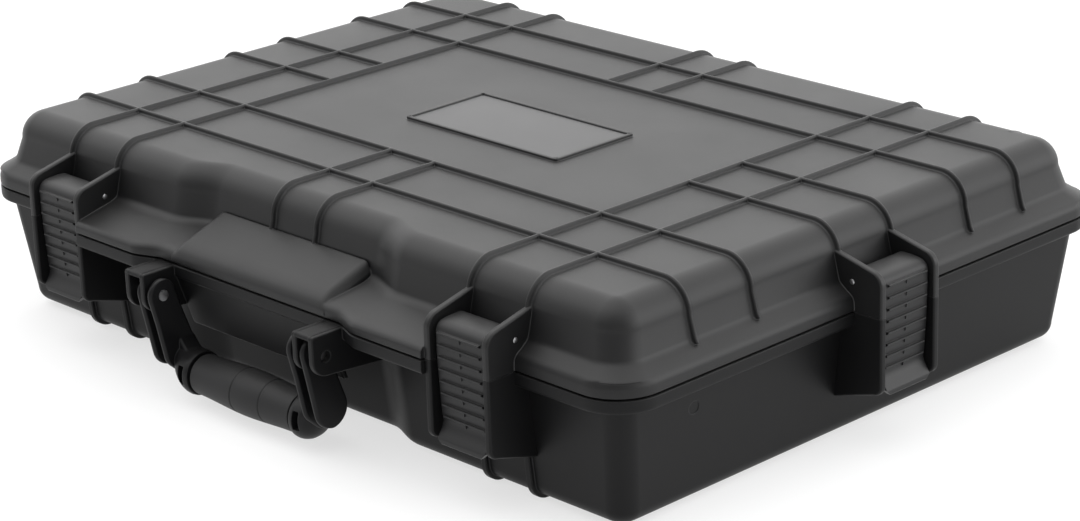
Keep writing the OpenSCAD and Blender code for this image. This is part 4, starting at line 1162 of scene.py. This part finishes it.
def face_at(z):
    """How far the lever's face stands out at a height below the pin."""
    stops = [(0.2, 0.0), (-12, 0.0), (-22, -0.4), (-30, -0.8), (-43, -1.6), (-46, -2.2), (-49, -2.2)]
    for (z0, u0), (z1, u1) in zip(stops, stops[1:]):
        if z >= z1:
            return FACE + u0 + (u1 - u0) * (z0 - z) / (z0 - z1)
    return FACE + stops[-1][1]


def ridge(z):
    """A ridge with a sloping upper side and a small tick in its middle."""
    out = face_at(z)
    bar = slab(
        [(out - 2, z + 0.9), (out, z + 0.8), (out + RIDGE_H, z + 0.6), (out + RIDGE_H, z - 0.1),
         (out, z - 1.0), (out - 2, z - 1.2)],
        RIDGE_L, 0, 0.2, 2,
    )
    tick = slab(
        [(out - 2, z - 0.4), (out + 0.8, z - 0.3), (out + 0.45, z - 2.6), (out - 2, z - 2.9)],
        0.7, 0, 0.12, 2,
    )
    return [bar, tick]


def lever_parts():
    """The lever's plate with its lower corners cut, and its ridges."""
    plate = slab(lever_outline(), LEVER_W, 0, 0.6)
    corner = []
    for edge in (-1, 1):
        half = CORNER_CUT / 2
        block = slab([(-4, -half), (4, -half), (4, half), (-4, half)], CORNER_CUT)
        tilt = Matrix.Rotation(math.radians(45), 4, "X")
        corner.append(turned(block, at(FACE, edge * LEVER_W / 2, -LEVER_L) @ tilt))
    parts = [carve(plate, *corner)]
    for i in range(RIDGES):
        parts += ridge(RIDGE_TOP - i * RIDGE_PITCH)
    return parts


for k, place in enumerate(STATION_NAMES):
    shift = (0, 0, -LEVER_SHIFT, LEVER_SHIFT)[k]
    spot = station(k) @ at(LATCH_PIN_IN, shift, SEAM_Z + LATCH_PIN_H)
    make(
        "lever_" + place, [turned(part, spot) for part in lever_parts()],
        lever_black, "latch_" + place, ["latch_lever_" + place],
    )
    pin = rod(LATCH_PIN_D / 2, EAR_PITCH + EAR_T + 0.1, 24, dome=0.45)
    spot = station(k) @ at(LATCH_PIN_IN, 0, SEAM_Z + LATCH_PIN_H)
    make("pin_" + place, [turned(pin, spot)], pin_steel, "lid", ["latch_pin_" + place])

# %% [markdown]
# ## The grip
# The grip is soft rubber moulded over the handle's crossbar. It swells to the middle and has two
# fine dividing grooves. It is spun from its profile, which holds the grooves.

# %% The grip
GRIP_L, GRIP_D, GRIP_END_D, BAR_D = 80.0, 25.0, 22.0, 12.0
GRIP_Y, GRIP_Z = PIN_Y + 12.7, PIN_Z - 44.0
GRIP_HALF = GRIP_L / 2 - 0.2
GROOVES, GROOVE_DEPTH, GROOVE_HALF = (-5.0, 17.2), 0.4, 0.7


def grip_radius(x):
    """Radius of the grip along its length, with its grooves."""
    swell = GRIP_END_D / 2 + (GRIP_D - GRIP_END_D) / 2 * smooth(1 - abs(x) / GRIP_HALF)
    near = min(abs(x - groove) for groove in GROOVES)
    return swell - GROOVE_DEPTH * max(0.0, 1 - (near / GROOVE_HALF) ** 2)


stops = sorted({round(GRIP_HALF * i / 60, 3) for i in range(-60, 61)}
               | {groove + GROOVE_HALF * i / 2 for groove in GROOVES for i in range(-2, 3)})
profile = [(-GRIP_HALF, BAR_D / 2 + 0.05), (-GRIP_HALF, GRIP_END_D / 2 - 1.2)]
profile += [(x, grip_radius(x)) for x in stops if abs(x) < GRIP_HALF - 0.6]
profile += [(GRIP_HALF, GRIP_END_D / 2 - 1.2), (GRIP_HALF, BAR_D / 2 + 0.05)]
grip = lathe([(x, r, 0) for x, r in profile], (1, 0, 0), 64)
make("grip", [turned(grip, at(0, GRIP_Y, GRIP_Z))], grip_rubber, "handle", ["handle_grip"])

# %% [markdown]
# ## The handle's arms
# Each arm is two wavy plates side by side. Seen from the end of the case, a plate is a string of
# discs: a round eye on the pin, a waist below it, and a broad round paddle. Discs laid close together
# between these fill the outline, and at each height the foremost and rearmost disc give the plate's
# front and back. Flat, round-ended sections of that width are stacked into the plate. A web closes
# the channel between the plates. From the inner plate an elbow runs inward to the grip: round rings
# lofted into a fat bend, with a pocket cut into its front and a gusset above it.

# %% The handle's arms
ARM_IN_X, ARM_OUT_X, PLATE_THICK = 54.2, 63.6, 3.4
HOLLOW_X, HOLLOW_OUT, HOLLOW_W, GUSSET_W = 6.4, 4.0, 4.4, 11.0
WAIST, PADDLE = (-4.0, -14.0, 9.0), (-9.3, -33.0, 10.4)
OUTER_DISCS = [(0, 0, 8.0), WAIST, PADDLE]
INNER_DISCS = [(0, 0, 8.6), WAIST, PADDLE, (-13.0, -39.0, 8.4)]
WEB = [(-11.5, -17.0), (-8.5, -17.0), (-15.2, -33.0), (-18.2, -33.0)]
ELBOW = [
    (0.9, 0.0, 11.3), (1.2, 0.0, 11.8), (2.0, 0.0, 12.1), (3.6, 0.0, 12.3), (5.4, 0.1, 12.2),
    (7.6, 0.5, 11.9), (10.0, 1.4, 11.3), (12.4, 2.8, 10.3), (14.6, 5.0, 8.8), (16.2, 7.4, 6.9),
    (17.2, 9.6, 4.8),
]


def string_of(discs, steps=40):
    """Lays discs close together between the given ones, which are out, up and radius from the pin."""
    return [
        [a + (b - a) * i / steps for a, b in zip(first, second)]
        for first, second in zip(discs, discs[1:]) for i in range(steps + 1)
    ]


def plate_span(z, discs):
    """Front and back of a plate at a height above the pin."""
    cut = [(u, math.sqrt(r * r - (z - up) ** 2)) for u, up, r in discs if abs(z - up) < r]
    return max(u + half for u, half in cut), min(u - half for u, half in cut)


def arm_plate(x, discs, side):
    """A plate of an arm as a stack of round-ended sections."""
    discs = string_of(discs)
    top = discs[0][2]
    low = min(up - r for _, up, r in discs)
    middle_z, reach = (top + low) / 2, (top - low) / 2
    rings = []
    for k in range(1, 48):
        z = middle_z + reach * math.cos(math.pi * k / 48)
        front, back = plate_span(z, discs)
        half = min(PLATE_THICK / 2, (front - back) / 2)
        rings.append([
            (side * (x + PLATE_THICK / 2 + half * math.sin(a)), PIN_Y - end - half * math.cos(a),
             PIN_Z + z)
            for end, start in ((front - half, -90), (back + half, 90))
            for a in (math.radians(start + 180 * i / 8) for i in range(9))
        ])
    return loft(rings)


def arm_parts(side):
    """The two plates of an arm, the web between them and the elbow that carries the grip."""
    inner = arm_plate(ARM_IN_X, INNER_DISCS, side)
    outer = arm_plate(ARM_OUT_X, OUTER_DISCS, side)
    web_from, web_to = ARM_IN_X + 1.5, ARM_OUT_X + 1.5
    web = turned(
        slab([(u - PIN_Y, PIN_Z + up) for u, up in WEB], web_to - web_from, 0, 0.8),
        at(side * (web_from + web_to) / 2, facing=-90),
    )
    elbow = loft([
        [(side * (GRIP_L / 2 + x), GRIP_Y + r * math.cos(a), GRIP_Z + up + r * math.sin(a))
         for a in (math.tau * i / 48 for i in range(48))]
        for x, up, r in ELBOW
    ])
    hollow = slab([(-0.5, -4.2), (14, -4.2), (14, 6.0), (-0.5, 6.0)], HOLLOW_W, 0, 0.6)
    hollow_at = at(side * (GRIP_L / 2 + HOLLOW_X), GRIP_Y - HOLLOW_OUT, GRIP_Z, -90)
    elbow = carve(elbow, turned(hollow, hollow_at))
    start, end = GRIP_L / 2 + 2.0, ARM_IN_X + 1.4
    fillet = [
        (start, GRIP_Z + 9.6), (start + 3.5, GRIP_Z + 10.2), (start + 7.5, GRIP_Z + 12.4),
        (start + 10.4, GRIP_Z + 15.6), (end, GRIP_Z + 19.5), (end, GRIP_Z + 3), (start, GRIP_Z + 3),
    ]
    gusset = turned(slab(fillet, GUSSET_W, 0, 2.4, 4), at(0, GRIP_Y + 0.5, 0, 90 - 90 * side))
    return [inner, outer, web, elbow, gusset]


crossbar = turned(rod(BAR_D / 2, GRIP_L, 40), at(0, GRIP_Y, GRIP_Z, -90))
make(
    "handle_arms", [crossbar] + [part for side in (-1, 1) for part in arm_parts(side)],
    handle_black, "handle", ["handle_frame"],
)
for side, name in ((-1, "left"), (1, "right")):
    first, last = ARM_IN_X - 0.8, BRACKET_X + BRACKET_W - 3.2
    pin = rod(PIN_D / 2, last - first - 0.6, 40, dome=0.3)
    spot = at(side * (first + last) / 2, PIN_Y, PIN_Z, -90)
    make("pivot_" + name, [turned(pin, spot)], pin_steel, "base", ["handle_pin_" + name])

# %% [markdown]
# ## The plate on the lid
# A thin sheet lies inside the bead frame. It is left bare: a low block with soft edges and a fine
# satin grain.

# %% The plate on the lid
PLATE_T, PLATE_EDGE = 0.8, BEAD_W + 0.3
plate = soften(framed(PLATE_EDGE, TOP_Z, TOP_Z + PLATE_T), 1.2, 4, only=upright_edge)
soften(plate, 0.25, 2)
make("plate", [plate], plate_grey, "lid", ["name_plate"])

# %% [markdown]
# ## The foam lining
# A flat pad lies on the floor and a thick tray with three pockets on the pad. The pockets are cut
# with a blade, so their walls are upright, their corners round and their upper edges a little soft.
# The lid holds convoluted foam, whose waves grip what lies in the tray.

# %% The foam tray and pad
FOAM_GAP, PAD_T, TRAY_LOW, POCKET_D, POCKET_R, POCKET_WALL = 0.3, 10.0, 5.0, 38.0, 12.0, 26.0
REAR_POCKET, FRONT_POCKET = (380.0, 82.0), (176.0, 128.0)
FLOOR_Z = FOOT_H + WALL


def pocket(size, x, y, low, high):
    """A block with round corners, to be cut from the tray."""
    length, width = size
    ring = [
        (x + sx * (length / 2 - POCKET_R) + u, y + sy * (width / 2 - POCKET_R) + v)
        for (sx, sy), start in zip(((1, -1), (1, 1), (-1, 1), (-1, -1)), (-90, 0, 90, 180))
        for u, v in round_corner(0, 0, POCKET_R, start, start + 90, 8)
    ]
    return loft([[(u, v, z) for u, v in ring] for z in (low, high)])


pad_inset = BASE_IN + BASE_DRAFT + BASE_ROUND + FOAM_GAP
pad_low = FLOOR_Z + FOAM_GAP
pad_corner = BASE_CORNER_R - BASE_ROUND - FOAM_GAP
pad = loft([level(z, pad_inset, 0, 1, 0, pad_corner) for z in (pad_low, pad_low + PAD_T)])
pad = soften(pad, 1.0, 3, 60)
pad_piece = make("floor_foam", [pad], foam_grey, "base", ["base_foam_pad"])

tray_inset = BASE_IN + BASE_DRAFT + WALL + FOAM_GAP
tray_low, tray_high = pad_low + PAD_T + FOAM_GAP, SEAM_Z - TRAY_LOW
tray_corner = BASE_CORNER_R - WALL - FOAM_GAP
tray = loft([level(z, tray_inset, 0, 1, 0, tray_corner) for z in (tray_low, tray_high)])
rear_y = (FRONT_POCKET[1] + POCKET_WALL) / 2
front_y = -(REAR_POCKET[1] + POCKET_WALL) / 2
side_x = (FRONT_POCKET[0] + POCKET_WALL) / 2
cutters = [
    pocket(size, x, y, tray_high - POCKET_D, tray_high + 2)
    for size, x, y in (
        (REAR_POCKET, 0, rear_y), (FRONT_POCKET, -side_x, front_y), (FRONT_POCKET, side_x, front_y)
    )
]
tray = carve(tray, *cutters)
bmesh.ops.remove_doubles(tray, verts=tray.verts, dist=0.001)
soften(tray, 1.6, 4, 60, only=lambda edge: min(v.co.z for v in edge.verts) > tray_high - 0.1)
tray_piece = make("foam_tray", [tray], foam_grey, "base", ["base_foam_tray"])

# %% [markdown]
# The lid's foam starts as a fine grid. Each point sinks or rises on two crossed waves, and the rim
# of the grid is then pulled up into walls and closed with a flat back.

# %% The lid's foam
LID_FOAM_T, WAVE, WAVE_DEPTH = 28.0, 32.0, 5.5
foam_inset = LID_WALL_IN + LID_ROUND + FOAM_GAP
foam_top = TOP_Z - WALL - FOAM_GAP
foam_low = foam_top - LID_FOAM_T
foam_half_l = HALF_L - foam_inset
foam_front = -(HALF_W - foam_inset) + FRONT_RECESS
foam_rear = HALF_W - foam_inset
waves = bmesh.new()
bmesh.ops.create_grid(waves, x_segments=110, y_segments=74, size=1)
for vert in waves.verts:
    x = vert.co.x * foam_half_l
    y = foam_front + (vert.co.y + 1) / 2 * (foam_rear - foam_front)
    rim = smooth((1 - max(abs(vert.co.x), abs(vert.co.y))) / 0.05)
    bump = 0.5 + 0.25 * (math.cos(math.tau * x / WAVE) + math.cos(math.tau * y / WAVE))
    vert.co = (x, y, foam_low + WAVE_DEPTH * 2 * rim * (1 - bump))
border = [edge for edge in waves.edges if edge.is_boundary]
raised = bmesh.ops.extrude_edge_only(waves, edges=border)["geom"]
for vert in (part for part in raised if isinstance(part, bmesh.types.BMVert)):
    vert.co.z = foam_top
edge_loop = [part for part in raised if isinstance(part, bmesh.types.BMEdge)]
bmesh.ops.contextual_create(waves, geom=edge_loop)
bmesh.ops.recalc_face_normals(waves, faces=waves.faces)
foam_piece = make("lid_foam_waves", [waves], foam_grey, "lid", ["lid_foam"], sharp=60)

# %% [markdown]
# ## Finishes on what the frame keeps
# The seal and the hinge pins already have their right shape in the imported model, so they only get
# a finish, set on their own material slots.

# %% Finishes on what the frame keeps
KEPT = {"lid_gasket": seal_rubber, "hinge_pin_left": pin_steel, "hinge_pin_right": pin_steel}
for name, finish in KEPT.items():
    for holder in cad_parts[name].material_slots:
        holder.link = "OBJECT"
        holder.material = finish
    print(name, "gets", finish.name)

# %% [markdown]
# ## Measuring
# The dressed case's size is compared with the frame it stands for.

# %% Measuring
bpy.context.scene.view_settings.view_transform = "Standard"
dressed_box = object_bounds()
growth = [
    round(1000 * ((dressed_box[1][i] - dressed_box[0][i]) - (cad_box[1][i] - cad_box[0][i])), 2)
    for i in range(3)
]
print("the dressed case differs from the frame by", growth, "mm")
